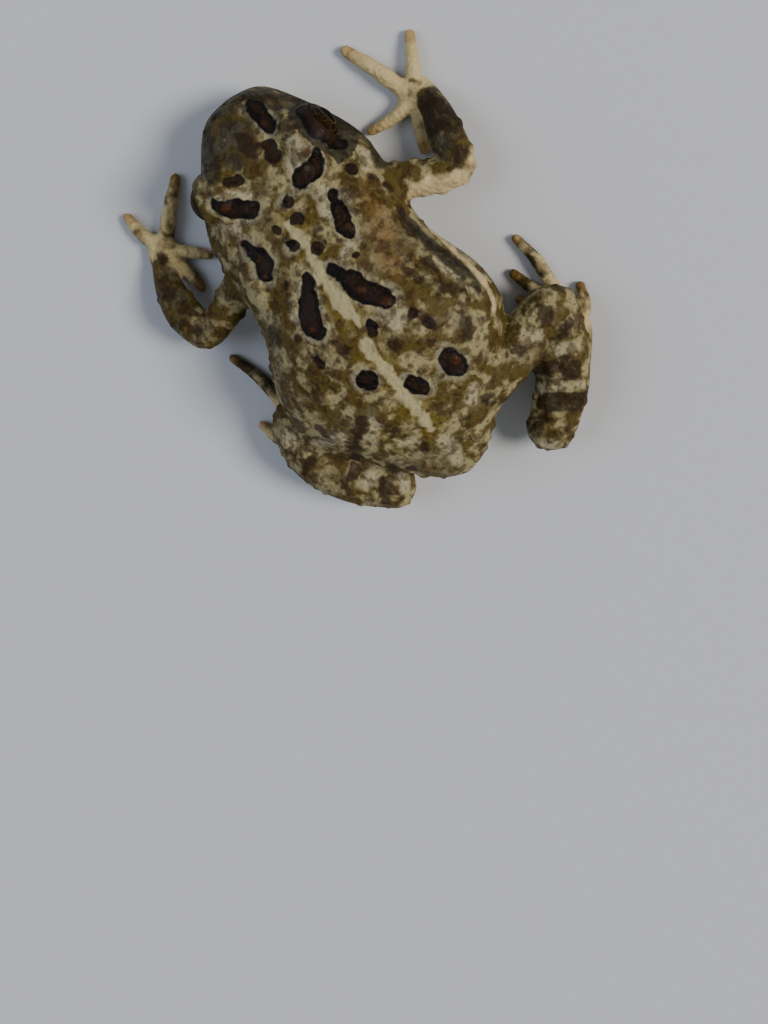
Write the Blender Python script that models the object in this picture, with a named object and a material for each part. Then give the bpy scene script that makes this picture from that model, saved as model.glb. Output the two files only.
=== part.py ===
"""A young Canadian toad at rest, life size, as a still museum model.

The snout points to -Y, the toad's left side is +X and +Z is up. The origin lies on the floor, at the
middle of the flat that the belly rests on. Every size below is in millimetres, and SCALE turns them to
metres. The animal is built from the trunk outwards, and each later piece is cut clear of the earlier ones
by GAP.
"""

import math
import random

import bmesh
import bpy
import numpy as np
from mathutils import Matrix, Vector
from mathutils.bvhtree import BVHTree

SCALE = 0.001
GAP = 0.3
LEFT = 1.0
RIGHT = -1.0
MERGE = 1e-5
ON_PLANE = 1e-4
SHARP_ANGLE = 50.0

# The trunk, from the lip to the vent: place along the body, half width, top, bottom and the height of its
# widest line.
TRUNK = (
    (-13.98, 0.05, 2.55, 2.15, 2.35),
    (-13.86, 1.12, 3.55, 1.70, 2.40),
    (-13.55, 1.98, 4.30, 1.38, 2.45),
    (-12.95, 2.70, 4.90, 1.15, 2.50),
    (-12.05, 3.40, 5.35, 1.00, 2.55),
    (-11.00, 4.13, 5.75, 0.88, 2.60),
    (-9.70, 4.95, 6.12, 0.75, 2.65),
    (-8.40, 5.60, 6.45, 0.60, 2.70),
    (-7.20, 5.95, 6.75, 0.50, 2.80),
    (-6.20, 6.05, 7.00, 0.38, 2.90),
    (-5.00, 6.10, 7.32, 0.22, 3.00),
    (-3.50, 6.05, 7.72, 0.05, 3.10),
    (-2.00, 6.02, 8.08, -0.08, 3.15),
    (-0.50, 6.32, 8.38, -0.15, 3.20),
    (1.00, 7.02, 8.62, -0.20, 3.25),
    (2.50, 7.64, 8.76, -0.24, 3.30),
    (4.00, 7.85, 8.76, -0.26, 3.35),
    (5.30, 7.75, 8.60, -0.26, 3.40),
    (6.50, 7.15, 8.28, -0.24, 3.40),
    (7.80, 6.20, 7.78, -0.15, 3.45),
    (9.00, 5.30, 7.18, 0.05, 3.50),
    (10.20, 4.45, 6.50, 0.45, 3.55),
    (11.30, 3.50, 5.80, 1.05, 3.60),
    (12.38, 2.35, 5.10, 1.80, 3.65),
    (13.14, 1.30, 4.50, 2.50, 3.60),
    (13.60, 0.05, 3.65, 3.45, 3.55),
)
TRUNK_SQUARENESS = 2.25
TRUNK_SIDES = 28
TRUNK_LEAST = 0.02
TORSO_RINGS = 22
HEAD_RINGS = 14
NECK_Y = -6.2
# How much closer the rings stand towards the snout and towards the vent.
SNOUT_CROWDING = 1.7
VENT_CROWDING = 1.3

# The mouth is one plane through the lip, rising a little towards the corners of the jaw.
MOUTH_FRONT = (0.0, -13.98, 2.35)
MOUTH_RISE = 0.07
JAW_INSET = 0.18
LIP_RADIUS = 0.32
LIP_LIFT = 0.34
LIP_INSET = 0.16
LIP_END = -7.1
LIP_STATIONS = 19
LIP_SIDES = 6

EYE_CENTRE = (3.74, -9.55, 4.70)
EYE_RADIUS = 1.42
EYE_FACES = (18, 12)
SOCKET_FACES = (16, 12)
LID_MOUND_CENTRE = (3.16, -9.42, 4.78)
LID_MOUND_RADII = (1.96, 2.25, 1.98)
LID_MOUND_FACES = (18, 12)

# The lids' thick margin round each eye, as angles from the gaze: the upper lid comes lower over the eye.
GAZE = (0.93, -0.22, 0.20)
LID_REACH = 1.82
LID_MARGIN_RADIUS = 0.24
UPPER_LID_ANGLE = 47.0
LOWER_LID_ANGLE = 54.0
CORNER_ANGLE = 60.0
LID_POINTS = 16
LID_SIDES = 6

NOSTRIL_CENTRE = (1.02, -13.42, 4.14)
NOSTRIL_RADIUS = 0.26
NOSTRIL_FACES = (8, 6)
EARDRUM_CENTRE = (5.42, -7.35, 4.05)
EARDRUM_RADII = (0.28, 0.68, 0.72)
EARDRUM_FACES = (12, 8)
CREST_START = (1.30, -12.85, 4.40)
CREST_END = (2.20, -8.0, 6.35)
CREST_RADII = (0.34, 0.42, 0.38)
CREST_SIDES = 8
CREST_RINGS = 6

# The parotoid gland behind each eye.
PAROTOID_CENTRE = (4.00, -3.75, 6.25)
PAROTOID_RADII = (1.15, 2.05, 0.85)
PAROTOID_ROLL = 40.0
PAROTOID_TURN = -8.0
PAROTOID_FACES = (14, 8)

# Stations of each limb piece: x, y, z of the middle, half width and half height, from its root to its end.
# The right limbs have x below zero. The photo's pose isn't the same on both sides.
LEFT_THIGH = (
    (1.0, 9.3, 4.2, 1.9, 1.9),
    (3.6, 8.2, 3.9, 2.0, 1.9),
    (6.2, 6.3, 3.2, 1.8, 1.7),
    (8.2, 4.7, 2.6, 1.5, 1.35),
)
RIGHT_THIGH = (
    (-1.0, 9.4, 4.2, 1.9, 1.9),
    (-3.7, 9.0, 3.9, 2.0, 1.9),
    (-6.8, 8.2, 3.3, 1.8, 1.7),
    (-10.1, 7.4, 2.7, 1.55, 1.4),
)
LEFT_SHANK = (
    (8.3, 4.9, 2.5, 1.55, 1.25),
    (8.35, 7.1, 2.65, 1.85, 1.4),
    (7.05, 10.1, 2.45, 1.8, 1.3),
    (4.8, 12.35, 2.15, 1.6, 1.05),
)
RIGHT_SHANK = (
    (-10.1, 7.4, 2.6, 1.6, 1.3),
    (-9.3, 9.5, 2.7, 1.8, 1.45),
    (-7.9, 12.1, 2.5, 1.75, 1.35),
    (-5.6, 14.35, 2.2, 1.6, 1.1),
)
LEFT_TARSUS = (
    (5.5, 12.6, 1.45, 1.15, 1.0),
    (7.5, 10.9, 0.85, 1.05, 0.85),
    (8.75, 8.9, 0.6, 1.1, 0.7),
)
RIGHT_TARSUS = (
    (-6.4, 14.4, 1.45, 1.2, 1.0),
    (-8.3, 12.6, 0.85, 1.1, 0.85),
    (-9.75, 10.7, 0.6, 1.1, 0.7),
)
LEFT_SOLE = (
    (8.75, 9.2, 0.5, 1.1, 0.62),
    (9.05, 7.6, 0.45, 1.25, 0.58),
    (9.0, 6.3, 0.4, 1.15, 0.5),
)
RIGHT_SOLE = (
    (-9.6, 11.0, 0.5, 1.1, 0.62),
    (-10.2, 9.6, 0.45, 1.25, 0.58),
    (-10.4, 8.2, 0.4, 1.15, 0.5),
)
LEFT_TOES = (
    ((8.2, 6.9, 0.45, 0.45, 0.48), (7.4, 6.0, 0.42, 0.36, 0.44), (6.9, 5.3, 0.30, 0.30, 0.34)),
    ((8.5, 6.6, 0.45, 0.46, 0.48), (7.7, 4.9, 0.44, 0.38, 0.45), (7.1, 3.7, 0.30, 0.30, 0.34)),
    ((8.8, 6.4, 0.45, 0.48, 0.48), (8.1, 3.9, 0.46, 0.40, 0.46), (7.7, 1.9, 0.30, 0.32, 0.34)),
    (
        (9.1, 6.4, 0.45, 0.50, 0.50),
        (8.8, 3.6, 0.50, 0.46, 0.50),
        (9.1, 1.4, 0.46, 0.40, 0.46),
        (9.9, -0.6, 0.30, 0.32, 0.34),
    ),
    ((9.5, 7.0, 0.45, 0.46, 0.48), (10.4, 5.6, 0.44, 0.40, 0.45), (10.85, 4.2, 0.30, 0.32, 0.34)),
)
RIGHT_TOES = (
    ((-9.6, 9.0, 0.45, 0.45, 0.48), (-8.7, 8.3, 0.42, 0.36, 0.44), (-8.0, 7.9, 0.30, 0.30, 0.34)),
    ((-9.9, 8.7, 0.45, 0.46, 0.48), (-8.9, 7.1, 0.44, 0.38, 0.45), (-8.2, 6.2, 0.30, 0.30, 0.34)),
    ((-10.1, 8.4, 0.45, 0.48, 0.48), (-9.4, 6.2, 0.46, 0.40, 0.46), (-8.8, 4.6, 0.30, 0.32, 0.34)),
    (
        (-10.4, 8.4, 0.45, 0.50, 0.50),
        (-10.5, 6.2, 0.50, 0.46, 0.50),
        (-10.5, 4.6, 0.46, 0.40, 0.46),
        (-10.1, 2.8, 0.30, 0.32, 0.34),
    ),
    ((-10.8, 9.6, 0.45, 0.46, 0.48), (-11.7, 8.6, 0.44, 0.40, 0.45), (-12.0, 7.5, 0.30, 0.32, 0.34)),
)
WEB_THICKNESS = 0.5
WEB_REACH = 0.95
WEB_NOTCH = 0.78
WEB_SINK = 0.2

LEFT_UPPER_ARM = (
    (4.2, -5.0, 3.3, 1.35, 1.3),
    (6.4, -4.1, 3.0, 1.2, 1.15),
    (8.2, -3.3, 2.6, 1.1, 1.05),
    (9.7, -2.85, 2.35, 1.05, 1.0),
)
RIGHT_UPPER_ARM = (
    (-4.2, -5.0, 3.3, 1.35, 1.3),
    (-6.3, -4.2, 3.0, 1.2, 1.15),
    (-8.1, -3.3, 2.6, 1.1, 1.05),
    (-9.6, -2.8, 2.35, 1.05, 1.0),
)
LEFT_FOREARM = (
    (9.9, -3.0, 2.3, 1.15, 1.05),
    (10.4, -4.9, 2.0, 1.25, 1.1),
    (10.4, -6.6, 1.45, 1.0, 0.85),
    (10.1, -7.9, 1.1, 0.85, 0.65),
)
RIGHT_FOREARM = (
    (-9.75, -2.95, 2.3, 1.1, 1.05),
    (-9.95, -4.8, 2.0, 1.2, 1.1),
    (-10.2, -6.4, 1.45, 0.98, 0.85),
    (-10.25, -7.4, 1.1, 0.82, 0.65),
)
LEFT_PALM = (
    (10.1, -7.7, 0.8, 0.85, 0.7),
    (9.7, -8.5, 0.6, 1.15, 0.65),
    (9.4, -9.4, 0.5, 1.0, 0.55),
)
RIGHT_PALM = (
    (-10.3, -7.2, 0.8, 0.85, 0.7),
    (-9.75, -7.9, 0.6, 1.15, 0.65),
    (-9.3, -8.5, 0.5, 1.0, 0.55),
)
LEFT_FINGERS = (
    ((9.5, -8.0, 0.55, 0.50, 0.55), (9.0, -6.8, 0.50, 0.42, 0.50), (8.9, -5.5, 0.32, 0.34, 0.36)),
    ((9.3, -8.6, 0.55, 0.52, 0.55), (8.2, -7.9, 0.55, 0.42, 0.50), (7.2, -7.0, 0.32, 0.33, 0.36)),
    ((9.2, -9.2, 0.55, 0.55, 0.55), (7.8, -10.6, 0.60, 0.48, 0.52), (6.2, -12.2, 0.32, 0.36, 0.36)),
    ((9.7, -9.3, 0.55, 0.50, 0.55), (10.2, -10.6, 0.52, 0.42, 0.50), (10.4, -11.9, 0.32, 0.34, 0.36)),
)
RIGHT_FINGERS = (
    ((-9.3, -7.4, 0.55, 0.50, 0.55), (-8.7, -6.2, 0.50, 0.42, 0.50), (-8.2, -4.9, 0.32, 0.34, 0.36)),
    ((-9.3, -7.9, 0.55, 0.52, 0.55), (-7.8, -7.6, 0.55, 0.42, 0.50), (-6.0, -7.7, 0.32, 0.33, 0.36)),
    ((-9.2, -8.3, 0.55, 0.55, 0.55), (-8.4, -10.4, 0.62, 0.50, 0.54), (-7.3, -12.6, 0.32, 0.38, 0.36)),
    ((-9.7, -8.4, 0.55, 0.50, 0.55), (-10.5, -9.8, 0.52, 0.42, 0.50), (-11.2, -11.2, 0.32, 0.34, 0.36)),
)
LEG_SIDES = 12
LEG_RINGS = 9
ARM_SIDES = 10
ARM_RINGS = 8
DIGIT_SIDES = 8
DIGIT_RINGS = 6
SHORT_RINGS = 6
RINGS_PER_EXTRA_STATION = 2

# The rounded end of a limb piece: its reach as a share of the smaller half size, the angles of its rings
# on a round cap, and the last ring's reach and size.
END_SHARE = 0.85
END_FLATNESS = 1.3
END_ANGLES = (20.0, 50.0)
END_TIP = (0.98, 0.14)

# The warts that stand in the dark blotches of the back: place across, place along and radius.
BLOTCH_WARTS = (
    (1.25, -0.1, 0.52),
    (1.72, 1.55, 0.62),
    (-1.55, -0.35, 0.42),
    (-2.40, 1.10, 0.62),
    (3.10, -3.95, 0.46),
    (3.85, -5.10, 0.42),
    (-2.85, -3.75, 0.46),
    (-3.35, -4.95, 0.42),
    (1.75, 6.9, 0.60),
    (-1.55, 6.9, 0.56),
    (-3.95, 6.2, 0.66),
    (4.10, 3.9, 0.60),
    (-0.45, 3.0, 0.42),
    (0.55, -5.1, 0.40),
    (-0.70, -3.9, 0.42),
    (1.15, -3.1, 0.38),
)
BLOTCH_WART_RISE = 0.30
SMALL_WARTS = 44
SMALL_WART_RADIUS = (0.30, 0.50)
SMALL_WART_RISE = 0.60
WART_LENGTH = 1.15
WART_SINK = 0.24
WART_SPACING = 0.30
WART_CLEARANCE = 0.55
LIMB_WARTS = 4
LIMB_WART_RADIUS = (0.26, 0.38)
HEAD_WART_RISE = 0.24
LID_WART_FROM = 2.2
HEAD_WARTS = (
    (2.95, -8.7, 0.55, 0.42),
    (-2.95, -8.7, 0.55, 0.42),
    (3.9, -8.5, 0.34, 0.34),
    (-3.9, -8.5, 0.34, 0.34),
    (0.25, -7.3, 0.38, 0.34),
    (-1.6, -11.0, 0.45, 0.38),
    (1.4, -10.4, 0.40, 0.34),
    (0.35, -9.6, 0.30, 0.28),
)
WART_FACES = (7, 4)
SEED = 7

# Where small warts may stand on the trunk: between two places along it, and between two angles about its
# core, from which a ray is cast.
WART_PLACES = (-5.2, 12.0)
WART_ANGLES = (-12.0, 192.0)
CORE_HEIGHT = 3.4
OUTSIDE = 15.0
ABOVE = 20.0
WART_TRIES = 12
LIMB_WART_TRIES = 20
LIMB_WART_SPACING = 0.95
LIMB_WART_UP = 0.45
NEIGHBOUR_MARGIN = 1.0

# Colours are sRGB, as seen on the animal.
BACK_COLOUR = (0.60, 0.53, 0.38)
HEAD_COLOUR = (0.52, 0.46, 0.34)
JAW_COLOUR = (0.74, 0.70, 0.58)
LIMB_COLOUR = (0.50, 0.44, 0.32)
DIGIT_COLOUR = (0.79, 0.66, 0.40)
EYE_COLOUR = (0.05, 0.045, 0.035)
SKIN_ROUGHNESS = 0.55
EYE_ROUGHNESS = 0.08


def clear_scene():
    """Removes whatever the scene holds."""
    for obj in list(bpy.data.objects):
        bpy.data.objects.remove(obj)


def linear(colour):
    """The linear values of an sRGB colour, with alpha 1."""
    return [c / 12.92 if c <= 0.04045 else ((c + 0.055) / 1.055) ** 2.4 for c in colour] + [1.0]


def paint(obj, colour, roughness=SKIN_ROUGHNESS):
    """Gives the object a material of its own."""
    material = bpy.data.materials.new(obj.name)
    material.use_nodes = True
    shader = material.node_tree.nodes["Principled BSDF"]
    shader.inputs["Base Color"].default_value = linear(colour)
    shader.inputs["Roughness"].default_value = roughness
    shader.inputs["Metallic"].default_value = 0.0
    obj.data.materials.clear()
    obj.data.materials.append(material)


def new_object(name, bm):
    """An object in the scene from a bmesh in millimetres, which is freed."""
    bmesh.ops.recalc_face_normals(bm, faces=bm.faces)
    mesh = bpy.data.meshes.new(name)
    bm.to_mesh(mesh)
    bm.free()
    obj = bpy.data.objects.new(name, mesh)
    bpy.context.scene.collection.objects.link(obj)
    return obj


def smooth_rows(rows, at):
    """Rows of numbers joined by smooth curves, read at places 'at', where the first column is the place."""
    table = np.array(rows, float)
    knots = table[:, 0]
    slopes = np.gradient(table, knots, axis=0)
    i = np.clip(np.searchsorted(knots, at, side="right") - 1, 0, len(knots) - 2)
    step = (knots[i + 1] - knots[i])[:, None]
    t = ((at - knots[i]) / step[:, 0])[:, None]
    start = table[i] * (2 * t**3 - 3 * t**2 + 1) + slopes[i] * step * (t**3 - 2 * t**2 + t)
    end = table[i + 1] * (3 * t**2 - 2 * t**3) + slopes[i + 1] * step * (t**3 - t**2)
    return start + end


def skin_rings(name, rings):
    """A closed body from rings of points, one list per ring, with a fan of faces over each end."""
    bm = bmesh.new()
    loops = [[bm.verts.new(p) for p in ring] for ring in rings]
    sides = len(loops[0])
    for near, far in zip(loops, loops[1:]):
        for k in range(sides):
            bm.faces.new((near[k], near[(k + 1) % sides], far[(k + 1) % sides], far[k]))
    for loop in (loops[0], loops[-1]):
        middle = bm.verts.new(sum((v.co for v in loop), Vector()) / sides)
        for k in range(sides):
            bm.faces.new((loop[k], loop[(k + 1) % sides], middle))
    return new_object(name, bm)


def trunk_section(row, inset=0.0):
    """The points of one cross-section of the trunk."""
    y, half, top, bottom, widest = row
    power = 2.0 / TRUNK_SQUARENESS
    points = []
    for k in range(TRUNK_SIDES):
        angle = 2 * math.pi * k / TRUNK_SIDES
        across = math.copysign(abs(math.cos(angle)) ** power, math.cos(angle))
        up = math.copysign(abs(math.sin(angle)) ** power, math.sin(angle))
        height = (top - widest) if up > 0 else (widest - bottom)
        wide, tall = max(half - inset, TRUNK_LEAST), max(height - inset, TRUNK_LEAST)
        points.append((wide * across, y, widest + up * tall))
    return points


def trunk(name, start, end, count, inset=0.0):
    """The trunk between two places along the body, with flat or closed ends and rings closer at a tip."""
    first, last = TRUNK[0][0], TRUNK[-1][0]
    t = np.linspace(0, 1, count)
    if start == first:
        t = t**SNOUT_CROWDING
    if end == last:
        t = 1 - (1 - t) ** VENT_CROWDING
    rows = smooth_rows(TRUNK, start + (end - start) * t)
    if inset:
        rows[:, 0] = np.where(t < 0.5, rows[:, 0] + inset * (1 - t), rows[:, 0])
    return skin_rings(name, [trunk_section(row, inset) for row in rows])


def ellipsoid(name, centre, radii, faces, turn=Matrix.Identity(3)):
    """A closed ellipsoid with so many faces round and along it, its axes turned by a rotation."""
    bm = bmesh.new()
    bmesh.ops.create_uvsphere(bm, u_segments=faces[0], v_segments=faces[1], radius=1.0)
    shape = Matrix.Translation(centre) @ turn.to_4x4() @ Matrix.Diagonal((*radii, 1.0))
    bmesh.ops.transform(bm, matrix=shape, verts=bm.verts)
    return new_object(name, bm)


def tube(name, stations, sides, count, grow=0.0):
    """A limb piece through its stations, with flat-oval sections and rounded ends, thicker by 'grow'."""
    table = np.array(stations, float)
    lengths = np.linalg.norm(np.diff(table[:, :3], axis=0), axis=1)
    places = np.concatenate([[0.0], np.cumsum(lengths)])
    rows = smooth_rows(np.column_stack([places, table]), np.linspace(0, places[-1], count))[:, 1:]
    rows[:, 3:] += grow
    middles = rows[:, :3]
    ahead = np.gradient(middles, axis=0)
    ahead /= np.linalg.norm(ahead, axis=1)[:, None]
    cap = np.sin(np.radians(END_ANGLES))
    shrink = np.cos(np.radians(END_ANGLES))
    rings = []

    def ring(middle, forward, half, tall):
        across = np.cross(forward, (0.0, 0.0, 1.0))
        across /= np.linalg.norm(across)
        up = np.cross(across, forward)
        angles = 2 * np.pi * (np.arange(sides) + 0.5) / sides
        return [tuple(middle + across * half * math.cos(a) + up * tall * math.sin(a)) for a in angles]

    for at, sign in ((0, -1.0), (-1, 1.0)):
        ends = []
        reach = END_SHARE * min(rows[at, 3], rows[at, 4] * END_FLATNESS) + (1 - END_SHARE) * grow
        for out, thin in zip((*cap, END_TIP[0]), (*shrink, END_TIP[1])):
            middle = middles[at] + ahead[at] * sign * reach * out
            ends.append(ring(middle, ahead[at], rows[at, 3] * thin, rows[at, 4] * thin))
        if sign < 0:
            rings = ends[::-1] + [ring(m, a, r[3], r[4]) for m, a, r in zip(middles, ahead, rows)]
        else:
            rings = rings + ends
    return skin_rings(name, rings)


def apply_boolean(obj, pieces, operation):
    """Joins closed pieces to the object, or cuts them from it, and removes them."""
    group = bpy.data.collections.new("pieces")
    bpy.context.scene.collection.children.link(group)
    for piece in pieces:
        for collection in piece.users_collection:
            collection.objects.unlink(piece)
        group.objects.link(piece)
    modifier = obj.modifiers.new("join", "BOOLEAN")
    modifier.operand_type = "COLLECTION"
    modifier.collection = group
    modifier.operation = operation
    modifier.solver = "EXACT"
    bpy.context.view_layer.update()
    graph = bpy.context.evaluated_depsgraph_get()
    mesh = bpy.data.meshes.new_from_object(obj.evaluated_get(graph))
    obj.modifiers.clear()
    obj.data = mesh
    for piece in pieces:
        bpy.data.objects.remove(piece)
    bpy.data.collections.remove(group)
    keep_largest(obj)


def keep_largest(obj):
    """Drops every closed surface of the object but the largest, counting faces joined along their edges."""
    bm = bmesh.new()
    bm.from_mesh(obj.data)
    bmesh.ops.remove_doubles(bm, verts=bm.verts, dist=MERGE)
    bmesh.ops.dissolve_degenerate(bm, edges=bm.edges, dist=MERGE)
    seen = set()
    parts = []
    for seed in bm.faces:
        if seed in seen:
            continue
        found, queue = {seed}, [seed]
        while queue:
            for edge in queue.pop().edges:
                for face in edge.link_faces:
                    if face not in found:
                        found.add(face)
                        queue.append(face)
        seen |= found
        parts.append(found)
    largest = max(parts, key=len)
    bmesh.ops.delete(bm, geom=[f for f in bm.faces if f not in largest], context="FACES")
    bm.to_mesh(obj.data)
    bm.free()


def cut_with_plane(obj, point, normal):
    """Removes what lies on the side that the normal points to, and closes the cut with a flat face."""
    bm = bmesh.new()
    bm.from_mesh(obj.data)
    geom = bm.verts[:] + bm.edges[:] + bm.faces[:]
    bmesh.ops.bisect_plane(
        bm, geom=geom, dist=ON_PLANE, plane_co=point, plane_no=normal, clear_outer=True
    )
    bmesh.ops.holes_fill(bm, edges=[e for e in bm.edges if e.is_boundary], sides=0)
    bmesh.ops.recalc_face_normals(bm, faces=bm.faces)
    bmesh.ops.triangulate(bm, faces=[f for f in bm.faces if len(f.verts) > 4])
    bm.to_mesh(obj.data)
    bm.free()
    keep_largest(obj)


def grown(obj, distance):
    """A copy of the object with its surface moved out by a distance, as a cutter."""
    bm = bmesh.new()
    bm.from_mesh(obj.data)
    bm.normal_update()
    moves = [(v, v.normal * distance) for v in bm.verts]
    for vert, move in moves:
        vert.co += move
    return new_object(obj.name + "_room", bm)


def box_of(obj):
    """The lowest and highest corners of the object."""
    points = np.array([v.co for v in obj.data.vertices])
    return points.min(axis=0), points.max(axis=0)


def close_by(a, b, margin):
    """Says whether the boxes of two objects come within a margin of each other."""
    (low_a, high_a), (low_b, high_b) = box_of(a), box_of(b)
    return bool(np.all(low_a < high_b + margin) and np.all(low_b < high_a + margin))


def fit_beside(obj, others):
    """Cuts the object clear of each piece that it would touch, leaving the gap between them.

    Each of the others comes with the tube that it was made from, or with None for a piece of the trunk.
    """
    for other, shape in others:
        if close_by(obj, other, GAP):
            room = tube("room", *shape, grow=GAP) if shape else grown(other, GAP)
            apply_boolean(obj, [room], "DIFFERENCE")


def surface_of(obj):
    """A search tree of the object's faces."""
    bm = bmesh.new()
    bm.from_mesh(obj.data)
    tree = BVHTree.FromBMesh(bm)
    bm.free()
    return tree


def wart(point, normal, long_half, wide_half, rise):
    """A low dome that stands on a surface, sunk by its root, its length along the body."""
    up = normal.normalized()
    along = Vector((0.0, 1.0, 0.0))
    ahead = (along - up * along.dot(up)).normalized()
    side = ahead.cross(up)
    turn = Matrix((side, ahead, up)).transposed()
    radii = (wide_half, long_half, rise + WART_SINK)
    return ellipsoid("wart", point - up * WART_SINK, radii, WART_FACES, turn)


def back_warts(torso, others):
    """The warts of the back and flanks: the large ones by name, and small ones spread by a seeded draw."""
    tree = surface_of(torso)
    near = [surface_of(other) for other in others]
    draw = random.Random(SEED)
    placed, warts = [], []

    def add(point, normal, radius, rise):
        if any((point - p).length < radius + r + WART_SPACING for p, r in placed):
            return False
        for other in near:
            if other.find_nearest(point, radius + WART_CLEARANCE)[0] is not None:
                return False
        if abs(point.y - NECK_Y) < radius + WART_CLEARANCE:
            return False
        placed.append((point, radius))
        warts.append(wart(point, normal, radius * WART_LENGTH, radius, rise))
        return True

    for x, y, radius in BLOTCH_WARTS:
        point, normal, _, _ = tree.ray_cast(Vector((x, y, ABOVE)), Vector((0, 0, -1)))
        add(point, normal, radius, BLOTCH_WART_RISE)
    made = 0
    for _ in range(SMALL_WARTS * WART_TRIES):
        if made == SMALL_WARTS:
            break
        y = draw.uniform(*WART_PLACES)
        angle = math.radians(draw.uniform(*WART_ANGLES))
        direction = Vector((math.cos(angle), 0.0, math.sin(angle)))
        core = Vector((0.0, y, CORE_HEIGHT))
        point, normal, _, _ = tree.ray_cast(core + direction * OUTSIDE, -direction)
        radius = draw.uniform(*SMALL_WART_RADIUS)
        if point is not None and add(point, normal, radius, radius * SMALL_WART_RISE):
            made += 1
    return warts


def limb_warts(limb, others, count, seed):
    """A few small warts on the upper side of a limb piece, clear of its neighbours."""
    tree = surface_of(limb)
    beside = [other for other in others if other is not limb and close_by(limb, other, NEIGHBOUR_MARGIN)]
    near = [surface_of(other) for other in beside]
    low, high = box_of(limb)
    draw = random.Random(seed)
    placed, warts = [], []
    for _ in range(count * LIMB_WART_TRIES):
        if len(warts) == count:
            break
        x, y = draw.uniform(low[0], high[0]), draw.uniform(low[1], high[1])
        point, normal, _, _ = tree.ray_cast(Vector((x, y, ABOVE)), Vector((0, 0, -1)))
        radius = draw.uniform(*LIMB_WART_RADIUS)
        if point is None or normal.z < LIMB_WART_UP:
            continue
        if any((point - p).length < LIMB_WART_SPACING for p in placed):
            continue
        if any(o.find_nearest(point, radius + WART_CLEARANCE)[0] is not None for o in near):
            continue
        placed.append(point)
        warts.append(wart(point, normal, radius, radius, radius * SMALL_WART_RISE))
    return warts


def mirrored(centre, side):
    """A point given for the left side, on the side asked for."""
    return (centre[0] * side, centre[1], centre[2])


def parotoid(side):
    """The long gland that lies on the shoulder behind one eye."""
    turn = (
        Matrix.Rotation(math.radians(PAROTOID_TURN) * side, 3, "Z")
        @ Matrix.Rotation(math.radians(PAROTOID_ROLL) * side, 3, "Y")
    )
    return ellipsoid("parotoid", mirrored(PAROTOID_CENTRE, side), PAROTOID_RADII, PAROTOID_FACES, turn)


def build_torso():
    """The body from the neck to the vent, with its parotoid glands."""
    torso = trunk("torso", NECK_Y + GAP / 2, TRUNK[-1][0], TORSO_RINGS)
    apply_boolean(torso, [parotoid(side) for side in (LEFT, RIGHT)], "UNION")
    cut_with_plane(torso, (0.0, NECK_Y + GAP / 2, 0.0), (0.0, -1.0, 0.0))
    return torso


def mouth_height(y):
    """The height of the mouth's plane at a place along the body."""
    return MOUTH_FRONT[2] + MOUTH_RISE * (y - MOUTH_FRONT[1])


def lip(name, lift, inset):
    """A full lip along the line of the mouth, from one corner round the snout to the other."""
    t = np.linspace(-1, 1, LIP_STATIONS)
    front = TRUNK[0][0] + inset
    ys = front + (LIP_END - front) * np.abs(t) ** 2
    half = np.maximum(smooth_rows(TRUNK, ys)[:, 1] - inset - LIP_INSET, 0.0)
    stations = [
        (math.copysign(h, k), y + LIP_INSET, mouth_height(y) + lift, LIP_RADIUS, LIP_RADIUS)
        for k, h, y in zip(t, half, ys)
    ]
    return tube(name, stations, LIP_SIDES, LIP_STATIONS)


def lid_margin(side):
    """The rim of the upper and lower lid, as a ring round the opening of one eye."""
    gaze = Vector(mirrored(GAZE, side)).normalized()
    along = Vector((0.0, 0.0, 1.0)).cross(gaze).normalized()
    up = gaze.cross(along)
    bm = bmesh.new()
    loops = []
    for k in range(LID_POINTS):
        turn = 2 * math.pi * k / LID_POINTS
        height = UPPER_LID_ANGLE if math.sin(turn) > 0 else LOWER_LID_ANGLE
        open_by = math.radians(CORNER_ANGLE + (height - CORNER_ANGLE) * math.sin(turn) ** 2)
        away = along * math.cos(turn) + up * math.sin(turn)
        out = gaze * math.cos(open_by) + away * math.sin(open_by)
        across = away * math.cos(open_by) - gaze * math.sin(open_by)
        middle = Vector(mirrored(EYE_CENTRE, side)) + out * LID_REACH
        angles = [2 * math.pi * m / LID_SIDES for m in range(LID_SIDES)]
        ring = [middle + (out * math.cos(a) + across * math.sin(a)) * LID_MARGIN_RADIUS for a in angles]
        loops.append([bm.verts.new(point) for point in ring])
    for near, far in zip(loops, loops[1:] + loops[:1]):
        for k in range(LID_SIDES):
            bm.faces.new((near[k], near[(k + 1) % LID_SIDES], far[(k + 1) % LID_SIDES], far[k]))
    return new_object("lid_margin", bm)


def build_head():
    """The upper head in its large forms: snout, crown and the mounds that carry the lids."""
    head = trunk("head", TRUNK[0][0], NECK_Y - GAP / 2, HEAD_RINGS)
    mounds = []
    for side in (LEFT, RIGHT):
        mounds.append(ellipsoid("lids", mirrored(LID_MOUND_CENTRE, side), LID_MOUND_RADII, LID_MOUND_FACES))
    apply_boolean(head, mounds, "UNION")
    trim_head(head)
    return head


def trim_head(head):
    """Cuts the head flat at the neck and along the line of the mouth."""
    cut_with_plane(head, (0.0, NECK_Y - GAP / 2, 0.0), (0.0, 1.0, 0.0))
    normal = Vector((0.0, MOUTH_RISE, -1.0)).normalized()
    cut_with_plane(head, Vector(MOUTH_FRONT) - normal * GAP / 2, normal)


def crest(side):
    """The low bony ridge from the nostril past the inner side of the lid."""
    start, end = mirrored(CREST_START, side), mirrored(CREST_END, side)
    middle = tuple((a + b) / 2 for a, b in zip(start, end))
    stations = [(*point, radius, radius) for point, radius in zip((start, middle, end), CREST_RADII)]
    return tube("crest", stations, CREST_SIDES, CREST_RINGS)


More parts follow.
